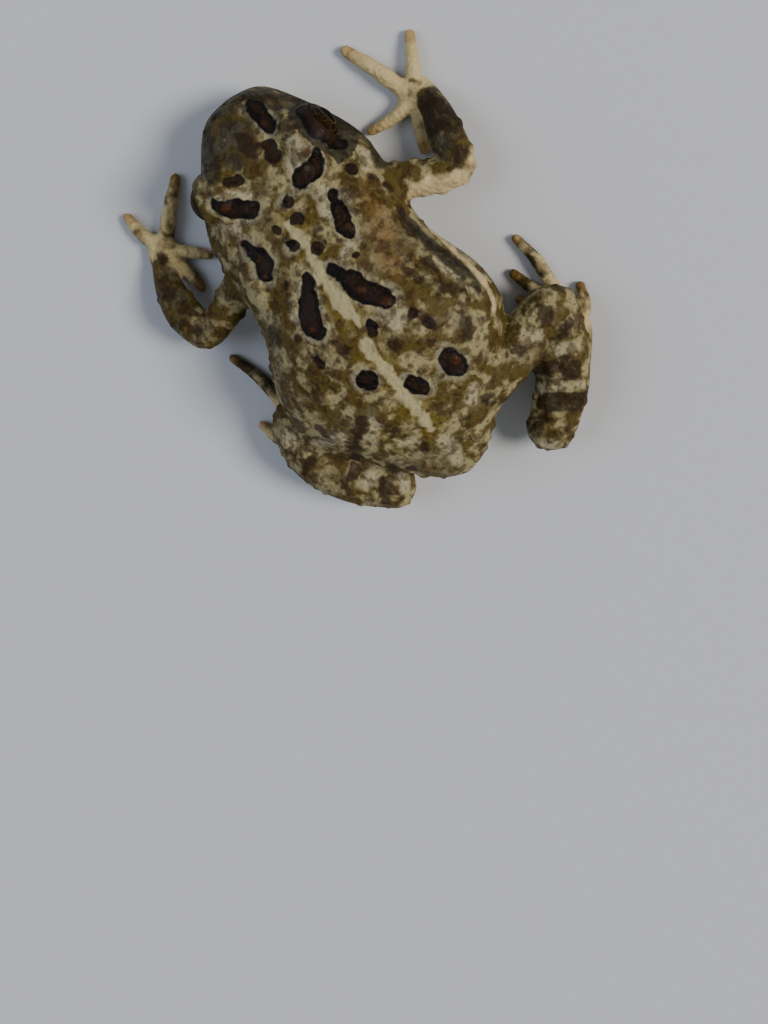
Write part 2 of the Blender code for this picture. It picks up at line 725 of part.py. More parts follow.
def head_warts(head):
    """The warts of the crown and the lids."""
    tree = surface_of(head)
    warts = []
    for x, y, long_half, wide_half in HEAD_WARTS:
        point, normal, _, _ = tree.ray_cast(Vector((x, y, ABOVE)), Vector((0, 0, -1)))
        if abs(x) > LID_WART_FROM:
            point, normal = on_lid(x, y)
        warts.append(wart(point, normal, long_half, wide_half, HEAD_WART_RISE))
    return warts


def shape_face(head, jaw):
    """Gives the head its crests, eardrums, lids, lips, warts, eye sockets and nostrils."""
    pieces = head_warts(head)
    pieces.append(lip("upper_lip", LIP_LIFT, 0.0))
    for side in (LEFT, RIGHT):
        pieces.append(ellipsoid("eardrum", mirrored(EARDRUM_CENTRE, side), EARDRUM_RADII, EARDRUM_FACES))
        pieces.append(crest(side))
        pieces.append(lid_margin(side))
    apply_boolean(head, pieces, "UNION")
    trim_head(head)
    cutters = []
    for side in (LEFT, RIGHT):
        eye, nostril = mirrored(EYE_CENTRE, side), mirrored(NOSTRIL_CENTRE, side)
        cutters.append(ellipsoid("socket", eye, (EYE_RADIUS + GAP,) * 3, SOCKET_FACES))
        cutters.append(ellipsoid("nostril", nostril, (NOSTRIL_RADIUS,) * 3, NOSTRIL_FACES))
    apply_boolean(head, cutters, "DIFFERENCE")
    apply_boolean(jaw, [lip("lower_lip", -LIP_LIFT, JAW_INSET)], "UNION")
    trim_jaw(jaw)


def on_lid(x, y):
    """The point of the lid's mound above (x, y), and its outward normal."""
    side = math.copysign(1.0, x)
    cx, cy, cz = mirrored(LID_MOUND_CENTRE, side)
    a, b, c = LID_MOUND_RADII
    z = cz + c * math.sqrt(max(0.0, 1 - ((x - cx) / a) ** 2 - ((y - cy) / b) ** 2))
    return Vector((x, y, z)), Vector(((x - cx) / a**2, (y - cy) / b**2, (z - cz) / c**2)).normalized()


def build_jaw():
    """The lower jaw and throat, a little narrower than the upper lip."""
    jaw = trunk("lower_jaw", TRUNK[0][0], NECK_Y - GAP / 2, HEAD_RINGS, JAW_INSET)
    trim_jaw(jaw)
    return jaw


def trim_jaw(jaw):
    """Cuts the jaw flat along the line of the mouth."""
    normal = Vector((0.0, -MOUTH_RISE, 1.0)).normalized()
    cut_with_plane(jaw, Vector(MOUTH_FRONT) - normal * GAP / 2, normal)


def web_between(toe_a, toe_b, sole):
    """The flat web between two toes, from the sole out to a hollow front edge."""
    root = Vector(sole[-1][:2])
    tip_a, tip_b = (root.lerp(Vector(toe[1][:2]), WEB_REACH) for toe in (toe_a, toe_b))
    notch = root.lerp((tip_a + tip_b) / 2, WEB_NOTCH)
    outline = (root, tip_a, notch, tip_b)
    bm = bmesh.new()
    low = [bm.verts.new((p.x, p.y, -WEB_SINK)) for p in outline]
    high = [bm.verts.new((p.x, p.y, WEB_THICKNESS)) for p in outline]
    for k in range(4):
        bm.faces.new((low[k], low[(k + 1) % 4], high[(k + 1) % 4], high[k]))
    for ring in (low, high):
        bm.faces.new((ring[0], ring[1], ring[2]))
        bm.faces.new((ring[0], ring[2], ring[3]))
    return new_object("web", bm)


def build_limbs(trunk_pieces):
    """All limb pieces, each cut clear of those made before it."""
    made = [(piece, None) for piece in trunk_pieces]

    def keep(name, stations, sides, count, extra=()):
        obj = tube(name, stations, sides, count)
        if extra:
            apply_boolean(obj, extra, "UNION")
        fit_beside(obj, made)
        made.append((obj, (stations, sides, count)))

    legs = (
        ("left", LEFT_SHANK, LEFT_THIGH, LEFT_TARSUS, LEFT_SOLE, LEFT_TOES),
        ("right", RIGHT_SHANK, RIGHT_THIGH, RIGHT_TARSUS, RIGHT_SOLE, RIGHT_TOES),
    )
    for side, shank, thigh, tarsus, sole, toes in legs:
        keep("shank_" + side, shank, LEG_SIDES, LEG_RINGS)
        keep("thigh_" + side, thigh, LEG_SIDES, LEG_RINGS)
        keep("tarsus_" + side, tarsus, LEG_SIDES, SHORT_RINGS)
        keep("foot_" + side, sole, LEG_SIDES, SHORT_RINGS)
        for number in reversed(range(len(toes))):
            webs = [web_between(*toes[number:number + 2], sole)] if number + 1 < len(toes) else []
            extra = len(toes[number]) - len(toes[0])
            rings = DIGIT_RINGS + extra * RINGS_PER_EXTRA_STATION
            keep(f"toe_{number + 1}_{side}", toes[number], DIGIT_SIDES, rings, webs)
    arms = (
        ("left", LEFT_UPPER_ARM, LEFT_FOREARM, LEFT_PALM, LEFT_FINGERS),
        ("right", RIGHT_UPPER_ARM, RIGHT_FOREARM, RIGHT_PALM, RIGHT_FINGERS),
    )
    for side, upper, fore, palm, fingers in arms:
        keep("upper_arm_" + side, upper, ARM_SIDES, ARM_RINGS)
        keep("forearm_" + side, fore, ARM_SIDES, ARM_RINGS)
        keep("palm_" + side, palm, ARM_SIDES, SHORT_RINGS)
        for number, finger in enumerate(fingers, 1):
            keep(f"finger_{number}_{side}", finger, DIGIT_SIDES, DIGIT_RINGS)
    return [obj for obj, _ in made[len(trunk_pieces):]]


def finish(obj):
    """Sets the object flat on the floor, turns it to metres and shades it smooth."""
    cut_with_plane(obj, (0.0, 0.0, 0.0), (0.0, 0.0, -1.0))
    obj.data.transform(Matrix.Scale(SCALE, 4))
    obj.data.shade_smooth()
    obj.data.set_sharp_from_angle(angle=math.radians(SHARP_ANGLE))
    obj.data.update()


def main():
    """Builds the toad from the trunk outwards."""
    clear_scene()
    torso, head, jaw = build_torso(), build_head(), build_jaw()
    limbs = build_limbs((torso, head, jaw))
    shape_face(head, jaw)
    warts = back_warts(torso, [head, jaw, *limbs])
    apply_boolean(torso, warts, "UNION")
    for count, limb in enumerate(limbs):
        if limb.name.startswith(("shank", "thigh", "forearm", "upper_arm")):
            domes = limb_warts(limb, [torso, head, *limbs], LIMB_WARTS, SEED + count)
            if domes:
                apply_boolean(limb, domes, "UNION")
    eyes = [
        ellipsoid("eye_" + name, mirrored(EYE_CENTRE, side), (EYE_RADIUS,) * 3, EYE_FACES)
        for name, side in (("left", LEFT), ("right", RIGHT))
    ]
    for obj in (torso, head, jaw, *limbs, *eyes):
        finish(obj)
        digit = obj.name.startswith(("finger", "palm", "foot", "toe"))
        paint(obj, DIGIT_COLOUR if digit else LIMB_COLOUR)
    paint(torso, BACK_COLOUR)
    paint(head, HEAD_COLOUR)
    paint(jaw, JAW_COLOUR)
    for eye in eyes:
        paint(eye, EYE_COLOUR, EYE_ROUGHNESS)


main()
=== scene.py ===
"""Looks for a young Canadian toad at rest: one skin over the flesh, two eyes, a pale floor and soft light.

Lengths are in millimetres until a mesh is made, where MM turns them to metres. The snout points to -Y, the
toad's left side is +X and the floor is z = 0.
"""
import logging
import math
import random
from dataclasses import dataclass, field
from enum import Enum
from typing import Any, Sequence

import bmesh
import bpy
import numpy as np
from mathutils import Matrix, Vector
from mathutils.bvhtree import BVHTree
from mathutils.kdtree import KDTree


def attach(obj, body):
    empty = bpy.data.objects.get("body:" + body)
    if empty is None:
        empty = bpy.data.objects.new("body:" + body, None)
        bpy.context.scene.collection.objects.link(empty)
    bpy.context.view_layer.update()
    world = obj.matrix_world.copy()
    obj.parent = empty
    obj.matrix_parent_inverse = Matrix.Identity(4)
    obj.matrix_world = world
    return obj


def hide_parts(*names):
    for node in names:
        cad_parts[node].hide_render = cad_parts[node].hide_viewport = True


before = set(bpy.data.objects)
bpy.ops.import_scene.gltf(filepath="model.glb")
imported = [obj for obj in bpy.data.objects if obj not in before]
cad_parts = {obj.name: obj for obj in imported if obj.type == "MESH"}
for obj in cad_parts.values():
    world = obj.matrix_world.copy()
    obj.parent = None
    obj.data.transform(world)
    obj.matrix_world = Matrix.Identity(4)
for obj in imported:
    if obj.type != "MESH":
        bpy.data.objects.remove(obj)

logging.basicConfig(level=logging.INFO, format="%(message)s")
LOG = logging.getLogger("toad")

MM = 0.001
BODY = "root"
# A distance that stands for "nowhere near".
FAR = 9.0
# Where a ray that looks down on the toad starts.
ABOVE = 20.0
BALL_FACES = (48, 32)
DIGIT_SIDES = 10
DIGIT_RINGS = 18
Point = tuple[float, float, float]
Pixel = tuple[float, float]
Row = tuple[float, ...]
Mark = tuple[float, float, float]
FLESH = [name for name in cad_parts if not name.startswith("eye_")]


class Side(Enum):
    """The two sides of the toad, as the sign of X."""

    LEFT = 1.0
    RIGHT = -1.0

    def place(self, point: Point) -> Vector:
        """A point given for the left side, in millimetres, set on this side."""
        return Vector((point[0] * self.value, point[1], point[2]))


# Shape helpers.


def smooth_rows(rows: Sequence[Row], at: np.ndarray) -> np.ndarray:
    """Reads smooth curves through rows of numbers.

    Args:
        rows: the rows, whose first column is the place along the curve.
        at: the places to read.

    Returns:
        One row for each place.
    """
    table = np.array(rows, float)
    knots = table[:, 0]
    slopes = np.gradient(table, knots, axis=0)
    i = np.clip(np.searchsorted(knots, at, side="right") - 1, 0, len(knots) - 2)
    step = (knots[i + 1] - knots[i])[:, None]
    t = ((at - knots[i]) / step[:, 0])[:, None]
    start = table[i] * (2 * t**3 - 3 * t**2 + 1) + slopes[i] * step * (t**3 - 2 * t**2 + t)
    end = table[i + 1] * (3 * t**2 - 2 * t**3) + slopes[i + 1] * step * (t**3 - t**2)
    return start + end


def ease(value: np.ndarray, low: float, high: float) -> np.ndarray:
    """A smooth step from 0 to 1.

    Args:
        value: the values to map.
        low: the value that becomes 0.
        high: the value that becomes 1.

    Returns:
        One number from 0 to 1 for each value.
    """
    t = np.clip((value - low) / (high - low), 0.0, 1.0)
    return t * t * (3 - 2 * t)


def ridge(gap: np.ndarray, at: float, width: float) -> np.ndarray:
    """A soft ridge, 1 high where a distance is 'at' and gone a few widths from there.

    Args:
        gap: the distances.
        at: the distance of the crest.
        width: how wide the ridge is.

    Returns:
        The height at each distance, from 0 to 1.
    """
    return np.exp(-(((gap - at) / width) ** 2))


def on_left(points: np.ndarray) -> np.ndarray:
    """The points, those of the right half mirrored to the left."""
    return np.abs(points) * (1, 0, 0) + points * (0, 1, 1)


def off_line(points: np.ndarray, start: np.ndarray, end: np.ndarray) -> tuple[np.ndarray, np.ndarray]:
    """How far points lie from a straight line between two places.

    Args:
        points: the points.
        start: where the line starts.
        end: where it ends, which may be the same place.

    Returns:
        Each point's distance, and how far along the line it lies, from 0 to 1.
    """
    line = end - start
    t = np.clip((points - start) @ line / max(float(line @ line), 1e-9), 0, 1)
    return np.linalg.norm(points - start - t[:, None] * line, axis=1), t


def extruded_form(name: str, rings: Sequence[np.ndarray], levels: int = 2) -> bpy.types.Object:
    """Models a closed form by extruding a disc from ring to ring, and subdivides it.

    Args:
        name: the new object's name.
        rings: the points of each ring in millimetres, all rings with the same count.
        levels: the levels of the Subdivision Surface.

    Returns:
        The form, in metres.
    """
    bpy.ops.object.select_all(action="DESELECT")
    bpy.ops.mesh.primitive_circle_add(vertices=len(rings[0]), radius=1.0, fill_type="NGON")
    form = bpy.context.active_object
    form.name = name
    bpy.ops.object.mode_set(mode="EDIT")
    mesh = bmesh.from_edit_mesh(form.data)
    order = sorted(mesh.verts, key=lambda v: v.index)
    for vert, point in zip(order, rings[0]):
        vert.co = point * MM
    for last, points in zip(rings, rings[1:]):
        bmesh.update_edit_mesh(form.data)
        bpy.ops.mesh.extrude_region_move()
        mesh = bmesh.from_edit_mesh(form.data)
        for vert in [v for v in mesh.verts if v.select]:
            nearest = np.argmin(((last * MM - np.array(vert.co)) ** 2).sum(axis=1))
            vert.co = points[nearest] * MM
    bmesh.update_edit_mesh(form.data)
    bpy.ops.mesh.select_all(action="SELECT")
    bpy.ops.mesh.normals_make_consistent(inside=False)
    bpy.ops.object.mode_set(mode="OBJECT")
    if levels:
        smoothing = form.modifiers.new("smooth", "SUBSURF")
        smoothing.levels = smoothing.render_levels = levels
        bpy.ops.object.modifier_apply(modifier=smoothing.name)
    return form


def ball(
    name: str, centre: Vector, radii: Point, turn: tuple[float, float] = (0.0, 0.0)
) -> bpy.types.Object:
    """Models an ellipsoid from a sphere that is stretched and turned in edit mode.

    Args:
        name: the new object's name.
        centre: its centre in millimetres.
        radii: its three radii in millimetres.
        turn: its turns about Y and then Z, in degrees.

    Returns:
        The ellipsoid, in metres.
    """
    bpy.ops.object.select_all(action="DESELECT")
    segments, rings = BALL_FACES
    bpy.ops.mesh.primitive_uv_sphere_add(segments=segments, ring_count=rings, radius=MM, location=(0, 0, 0))
    form = bpy.context.active_object
    form.name = name
    bpy.ops.object.mode_set(mode="EDIT")
    bpy.ops.transform.resize(value=radii, center_override=(0, 0, 0))
    bpy.ops.object.mode_set(mode="OBJECT")
    spin = Matrix.Rotation(math.radians(turn[1]), 4, "Z") @ Matrix.Rotation(math.radians(turn[0]), 4, "Y")
    form.data.transform(Matrix.Translation(centre * MM) @ spin)
    return form


def read_all(elements: Any, name: str, width: int, kind: type = float) -> np.ndarray:
    """Reads one property of all elements of a mesh.

    Args:
        elements: the mesh's vertices, normals or edges.
        name: the property.
        width: how many numbers it has.
        kind: what the numbers are.

    Returns:
        One row for each element.
    """
    flat = np.empty(len(elements) * width, kind)
    elements.foreach_get(name, flat)
    return flat.reshape(-1, width)


def points_of(piece: bpy.types.Object) -> np.ndarray:
    """The vertices of a piece, in millimetres."""
    return read_all(piece.data.vertices, "co", 3) / MM


def put_points(piece: bpy.types.Object, points: np.ndarray) -> None:
    """Moves the vertices of a piece to points in millimetres."""
    piece.data.vertices.foreach_set("co", (points * MM).ravel())
    piece.data.update()


def normals_of(piece: bpy.types.Object) -> np.ndarray:
    """The outward unit normals at the vertices of a piece."""
    return read_all(piece.data.vertex_normals, "vector", 3)


def edges_of(piece: bpy.types.Object) -> np.ndarray:
    """The edges of a piece, each as the numbers of its two vertices."""
    return read_all(piece.data.edges, "vertices", 2, int)


def relaxed(points: np.ndarray, edges: np.ndarray, factor: np.ndarray | float) -> np.ndarray:
    """Moves each point towards the mean of its neighbours.

    Args:
        points: the points.
        edges: the pairs of neighbours.
        factor: how far each point goes, from 0 to 1, or below 0 to push away.

    Returns:
        The moved points.
    """
    count = len(points)
    both = np.concatenate([edges, edges[:, ::-1]])
    degree = np.bincount(both[:, 0], minlength=count)
    mean = np.stack(
        [np.bincount(both[:, 0], weights=points[both[:, 1], k], minlength=count) for k in range(3)], axis=1
    )
    mean /= np.maximum(degree, 1)[:, None]
    weight = factor[:, None] if isinstance(factor, np.ndarray) else factor
    return points + (mean - points) * weight


def store(piece: bpy.types.Object, name: str, values: np.ndarray) -> None:
    """Keeps one number for each vertex as a named attribute that materials read."""
    layer = piece.data.attributes.new(name, "FLOAT", "POINT")
    layer.data.foreach_set("value", values.astype(np.float32))


# Forms under the skin.


@dataclass
class Trunk:
    """Head and body as one form: place along the body, half width, top, bottom, height of the widest line."""

    rows: tuple[Row, ...] = (
        (-13.98, 0.05, 2.55, 2.15, 2.35),
        (-13.86, 1.12, 3.55, 1.70, 2.40),
        (-13.55, 1.98, 4.30, 1.38, 2.45),
        (-12.95, 2.70, 4.90, 1.15, 2.50),
        (-12.05, 3.40, 5.35, 1.00, 2.55),
        (-11.00, 4.13, 5.75, 0.88, 2.60),
        (-9.70, 4.95, 6.12, 0.75, 2.65),
        (-8.40, 5.60, 6.45, 0.60, 2.70),
        (-7.20, 5.95, 6.75, 0.50, 2.80),
        (-6.20, 6.05, 7.00, 0.38, 2.90),
        (-5.00, 6.10, 7.32, 0.22, 3.00),
        (-3.50, 6.05, 7.72, 0.05, 3.10),
        (-2.00, 6.02, 8.08, -0.08, 3.15),
        (-0.50, 6.32, 8.38, -0.15, 3.20),
        (1.00, 7.02, 8.62, -0.20, 3.25),
        (2.50, 7.64, 8.76, -0.24, 3.30),
        (4.00, 7.85, 8.76, -0.26, 3.35),
        (5.30, 7.75, 8.60, -0.26, 3.40),
        (6.50, 7.15, 8.28, -0.24, 3.40),
        (7.80, 6.20, 7.78, -0.15, 3.45),
        (9.00, 5.30, 7.18, 0.05, 3.50),
        (10.20, 4.45, 6.50, 0.45, 3.55),
        (11.30, 3.50, 5.80, 1.05, 3.60),
        (12.38, 2.35, 5.10, 1.80, 3.65),
        (13.14, 1.30, 4.50, 2.50, 3.60),
        (13.60, 0.05, 3.65, 3.45, 3.55),
    )
    squareness: float = 2.25
    sides: int = 40
    rings: int = 56
    crowding: float = 0.94
    least_half: float = 0.02

    def section(self, row: np.ndarray) -> np.ndarray:
        """The points round one place along the body.

        Args:
            row: the numbers of that place.

        Returns:
            The points, in order round the body.
        """
        y, half, top, bottom, widest = row
        power = 2.0 / self.squareness
        angle = 2 * np.pi * np.arange(self.sides) / self.sides
        across = np.sign(np.cos(angle)) * np.abs(np.cos(angle)) ** power
        up = np.sign(np.sin(angle)) * np.abs(np.sin(angle)) ** power
        height = np.where(up > 0, top - widest, widest - bottom)
        wide = max(half, self.least_half)
        return np.stack([wide * across, np.full(self.sides, y), widest + up * height], axis=1)

    def build(self) -> bpy.types.Object:
        """Models the trunk, its rings closer together at snout and vent.

        Returns:
            The trunk, in metres.
        """
        t = np.linspace(0, 1, self.rings)
        first, last = self.rows[0][0], self.rows[-1][0]
        places = first + (last - first) * (0.5 - 0.5 * np.cos(np.pi * t)) ** self.crowding
        places[-1] = last
        return extruded_form("trunk", [self.section(row) for row in smooth_rows(self.rows, places)], 1)


@dataclass
class Tube:
    """A limb or digit through its stations: x, y, z, half width and half height.

    Knuckles are places along it, from 0 to 1. An end is a cap of rings, each with its reach and its size.
    """

    name: str
    stations: tuple[Row, ...]
    sides: int = 12
    rings: int = 12
    round_end: float = 0.85
    end_flatness: float = 1.3
    cap: tuple[tuple[float, float], ...] = ((0.34, 0.94), (0.77, 0.64), (0.98, 0.14))
    fuller: float = 1.02
    knuckles: tuple[float, ...] = ()
    knuckle_swell: float = 0.13
    knuckle_width: float = 0.075

    def build(self) -> bpy.types.Object:
        """Models the tube with its swollen knuckles and its two rounded ends.

        Returns:
            The tube, in metres.
        """
        table = np.array(self.stations, float)
        lengths = np.linalg.norm(np.diff(table[:, :3], axis=0), axis=1)
        places = np.concatenate([[0.0], np.cumsum(lengths)])
        t = np.linspace(0, 1, self.rings)
        rows = smooth_rows(np.column_stack([places, table]), t * places[-1])[:, 1:]
        rows[:, 3:] *= self.fuller
        for knuckle in self.knuckles:
            swell = self.knuckle_swell * ridge(t, knuckle, self.knuckle_width)
            rows[:, 3:] *= 1 + swell[:, None]
        middles = rows[:, :3]
        ahead = np.gradient(middles, axis=0)
        ahead /= np.linalg.norm(ahead, axis=1)[:, None]
        rings = [self.ring(m, a, r[3], r[4]) for m, a, r in zip(middles, ahead, rows)]
        for at, sign in ((0, -1.0), (-1, 1.0)):
            reach = self.round_end * min(rows[at, 3], rows[at, 4] * self.end_flatness)
            caps = []
            for out, thin in self.cap:
                middle = middles[at] + ahead[at] * sign * reach * out
                caps.append(self.ring(middle, ahead[at], rows[at, 3] * thin, rows[at, 4] * thin))
            rings = caps[::-1] + rings if sign < 0 else rings + caps
        return extruded_form(self.name, rings, 2)

    def ring(self, middle: np.ndarray, forward: np.ndarray, half: float, tall: float) -> np.ndarray:
        """The points of one section across the tube.

        Args:
            middle: its middle.
            forward: the tube's direction there.
            half: its half width.
            tall: its half height.

        Returns:
            The points, in order round the tube.
        """
        across = np.cross(forward, (0.0, 0.0, 1.0))
        across /= np.linalg.norm(across)
        up = np.cross(across, forward)
        angle = (2 * np.pi * (np.arange(self.sides) + 0.5) / self.sides)[:, None]
        return middle + across * half * np.cos(angle) + up * tall * np.sin(angle)


def slim_tube(name: str, stations: tuple[Row, ...], knuckles: tuple[float, ...]) -> bpy.types.Object:
    """Models a toe or finger, with fewer sides than a limb and more rings, for its knuckles."""
    return Tube(name, stations, sides=DIGIT_SIDES, rings=DIGIT_RINGS, knuckles=knuckles).build()


@dataclass
class HeadForms:
    """Lids, crests and parotoid glands, given for the left side."""

    mound_centre: Point = (3.16, -9.42, 4.78)
    mound_radii: Point = (1.96, 2.25, 1.98)
    crest_start: Point = (1.30, -12.85, 4.40)
    crest_end: Point = (2.20, -8.0, 6.35)
    crest_radii: Point = (0.34, 0.42, 0.38)
    parotoid_centre: Point = (4.00, -3.75, 6.25)
    parotoid_radii: Point = (1.15, 2.05, 0.85)
    parotoid_turn: tuple[float, float] = (40.0, -8.0)

    def build(self) -> list[bpy.types.Object]:
        """Models the forms of both sides.

        Returns:
            The mounds of the lids, the parotoid glands and the crests.
        """
        made = []
        for side in Side:
            made.append(ball("lids", side.place(self.mound_centre), self.mound_radii))
            turn = (self.parotoid_turn[0] * side.value, self.parotoid_turn[1] * side.value)
            made.append(ball("parotoid", side.place(self.parotoid_centre), self.parotoid_radii, turn))
            start, end = side.place(self.crest_start), side.place(self.crest_end)
            rows = tuple((*start.lerp(end, t), r, r) for t, r in zip((0.0, 0.5, 1.0), self.crest_radii))
            made.append(Tube("crest", rows).build())
        return made


@dataclass
class Leg:
    """A hind leg with its foot: thigh, shank, tarsus, sole, toes and webs."""

    side: Side
    thigh: tuple[Row, ...]
    shank: tuple[Row, ...]
    tarsus: tuple[Row, ...]
    sole: tuple[Row, ...]
    toes: tuple[tuple[Row, ...], ...]
    knuckles: tuple[float, ...] = (0.30, 0.62)
    web_thickness: float = 0.34
    web_reach: float = 0.95
    web_notch: float = 0.78

    def build(self) -> list[bpy.types.Object]:
        """Models the leg's forms.

        Returns:
            Thigh, shank, tarsus, sole, five toes and the webs between them.
        """
        parts = (("thigh", self.thigh), ("shank", self.shank), ("tarsus", self.tarsus), ("sole", self.sole))
        made = [Tube(name, stations).build() for name, stations in parts]
        made += [slim_tube("toe", toe, self.knuckles) for toe in self.toes]
        made += [self.web(near, far) for near, far in zip(self.toes, self.toes[1:])]
        return made

    def web(self, near: tuple[Row, ...], far: tuple[Row, ...]) -> bpy.types.Object:
        """The thin skin between two toes.

        Args:
            near: the stations of one toe.
            far: the stations of the next toe.

        Returns:
            A flat form with a hollow front edge.
        """
        root = Vector(self.sole[-1][:2])
        tips = [root.lerp(Vector(toe[1][:2]), self.web_reach) for toe in (near, far)]
        notch = root.lerp((tips[0] + tips[1]) / 2, self.web_notch)
        outline = [root, tips[0], tips[0].lerp(notch, 0.5), notch, tips[1].lerp(notch, 0.5), tips[1]]
        rings = [np.array([(p.x, p.y, z) for p in outline]) for z in (0.0, self.web_thickness)]
        return extruded_form("web", rings, 0)


@dataclass
class Arm:
    """A fore leg with its hand: upper arm, forearm, palm and fingers."""

    side: Side
    upper: tuple[Row, ...]
    fore: tuple[Row, ...]
    palm: tuple[Row, ...]
    fingers: tuple[tuple[Row, ...], ...]
    knuckles: tuple[float, ...] = (0.36, 0.68)

    def build(self) -> list[bpy.types.Object]:
        """Models the arm's forms.

        Returns:
            Upper arm, forearm, palm and four fingers.
        """
        parts = (("upper_arm", self.upper), ("forearm", self.fore), ("palm", self.palm))
        made = [Tube(name, stations).build() for name, stations in parts]
        return made + [slim_tube("finger", finger, self.knuckles) for finger in self.fingers]


LEFT_LEG = Leg(
    Side.LEFT,
    thigh=(
        (1.0, 9.3, 4.2, 1.9, 1.9), (3.6, 8.2, 3.9, 2.0, 1.9), (6.2, 6.3, 3.2, 1.8, 1.7),
        (8.2, 4.7, 2.6, 1.5, 1.35),
    ),
    shank=(
        (8.3, 4.9, 2.5, 1.55, 1.25), (8.35, 7.1, 2.65, 1.85, 1.4), (7.05, 10.1, 2.45, 1.8, 1.3),
        (4.8, 12.35, 2.15, 1.6, 1.05),
    ),
    tarsus=((5.5, 12.6, 1.45, 1.15, 1.0), (7.5, 10.9, 0.85, 1.05, 0.85), (8.75, 8.9, 0.6, 1.1, 0.7)),
    sole=((8.75, 9.2, 0.5, 1.1, 0.62), (9.05, 7.6, 0.45, 1.25, 0.58), (9.0, 6.3, 0.4, 1.15, 0.5)),
    toes=(
        ((8.2, 6.9, 0.45, 0.45, 0.48), (7.4, 6.0, 0.42, 0.36, 0.44), (6.9, 5.3, 0.30, 0.30, 0.34)),
        ((8.5, 6.6, 0.45, 0.46, 0.48), (7.7, 4.9, 0.44, 0.38, 0.45), (7.1, 3.7, 0.30, 0.30, 0.34)),
        ((8.8, 6.4, 0.45, 0.48, 0.48), (8.1, 3.9, 0.46, 0.40, 0.46), (7.7, 1.9, 0.30, 0.32, 0.34)),
        (
            (9.1, 6.4, 0.45, 0.50, 0.50), (8.8, 3.6, 0.50, 0.46, 0.50), (9.1, 1.4, 0.46, 0.40, 0.46),
            (9.9, -0.6, 0.30, 0.32, 0.34),
        ),
        ((9.5, 7.0, 0.45, 0.46, 0.48), (10.4, 5.6, 0.44, 0.40, 0.45), (10.85, 4.2, 0.30, 0.32, 0.34)),
    ),
)
RIGHT_LEG = Leg(
    Side.RIGHT,
    thigh=(
        (-1.0, 9.4, 4.2, 1.9, 1.9), (-3.7, 9.0, 3.9, 2.0, 1.9), (-6.8, 8.2, 3.3, 1.8, 1.7),
        (-10.1, 7.4, 2.7, 1.55, 1.4),
    ),
    shank=(
        (-10.1, 7.4, 2.6, 1.6, 1.3), (-9.3, 9.5, 2.7, 1.8, 1.45), (-7.9, 12.1, 2.5, 1.75, 1.35),
        (-5.6, 14.35, 2.2, 1.6, 1.1),
    ),
    tarsus=((-6.4, 14.4, 1.45, 1.2, 1.0), (-8.3, 12.6, 0.85, 1.1, 0.85), (-9.75, 10.7, 0.6, 1.1, 0.7)),
    sole=((-9.6, 11.0, 0.5, 1.1, 0.62), (-10.2, 9.6, 0.45, 1.25, 0.58), (-10.4, 8.2, 0.4, 1.15, 0.5)),
    toes=(
        ((-9.6, 9.0, 0.45, 0.45, 0.48), (-8.7, 8.3, 0.42, 0.36, 0.44), (-8.0, 7.9, 0.30, 0.30, 0.34)),
        ((-9.9, 8.7, 0.45, 0.46, 0.48), (-8.9, 7.1, 0.44, 0.38, 0.45), (-8.2, 6.2, 0.30, 0.30, 0.34)),
        ((-10.1, 8.4, 0.45, 0.48, 0.48), (-9.4, 6.2, 0.46, 0.40, 0.46), (-8.8, 4.6, 0.30, 0.32, 0.34)),
        (
            (-10.4, 8.4, 0.45, 0.50, 0.50), (-10.5, 6.2, 0.50, 0.46, 0.50),
            (-10.5, 4.6, 0.46, 0.40, 0.46), (-10.1, 2.8, 0.30, 0.32, 0.34),
        ),
        ((-10.8, 9.6, 0.45, 0.46, 0.48), (-11.7, 8.6, 0.44, 0.40, 0.45), (-12.0, 7.5, 0.30, 0.32, 0.34)),
    ),
)
LEFT_ARM = Arm(
    Side.LEFT,
    upper=(
        (4.2, -5.0, 3.3, 1.35, 1.3), (6.4, -4.1, 3.0, 1.2, 1.15), (8.2, -3.3, 2.6, 1.1, 1.05),
        (9.7, -2.85, 2.35, 1.05, 1.0),
    ),
    fore=(
        (9.9, -3.0, 2.3, 1.15, 1.05), (10.4, -4.9, 2.0, 1.25, 1.1), (10.4, -6.6, 1.45, 1.0, 0.85),
        (10.1, -7.9, 1.1, 0.85, 0.65),
    ),
    palm=((10.1, -7.7, 0.8, 0.85, 0.7), (9.7, -8.5, 0.6, 1.15, 0.65), (9.4, -9.4, 0.5, 1.0, 0.55)),
    fingers=(
        ((9.5, -8.0, 0.55, 0.50, 0.55), (9.0, -6.8, 0.50, 0.42, 0.50), (8.9, -5.5, 0.32, 0.34, 0.36)),
        ((9.3, -8.6, 0.55, 0.52, 0.55), (8.2, -7.9, 0.55, 0.42, 0.50), (7.2, -7.0, 0.32, 0.33, 0.36)),
        ((9.2, -9.2, 0.55, 0.55, 0.55), (7.8, -10.6, 0.60, 0.48, 0.52), (6.2, -12.2, 0.32, 0.36, 0.36)),
        ((9.7, -9.3, 0.55, 0.50, 0.55), (10.2, -10.6, 0.52, 0.42, 0.50), (10.4, -11.9, 0.32, 0.34, 0.36)),
    ),
)
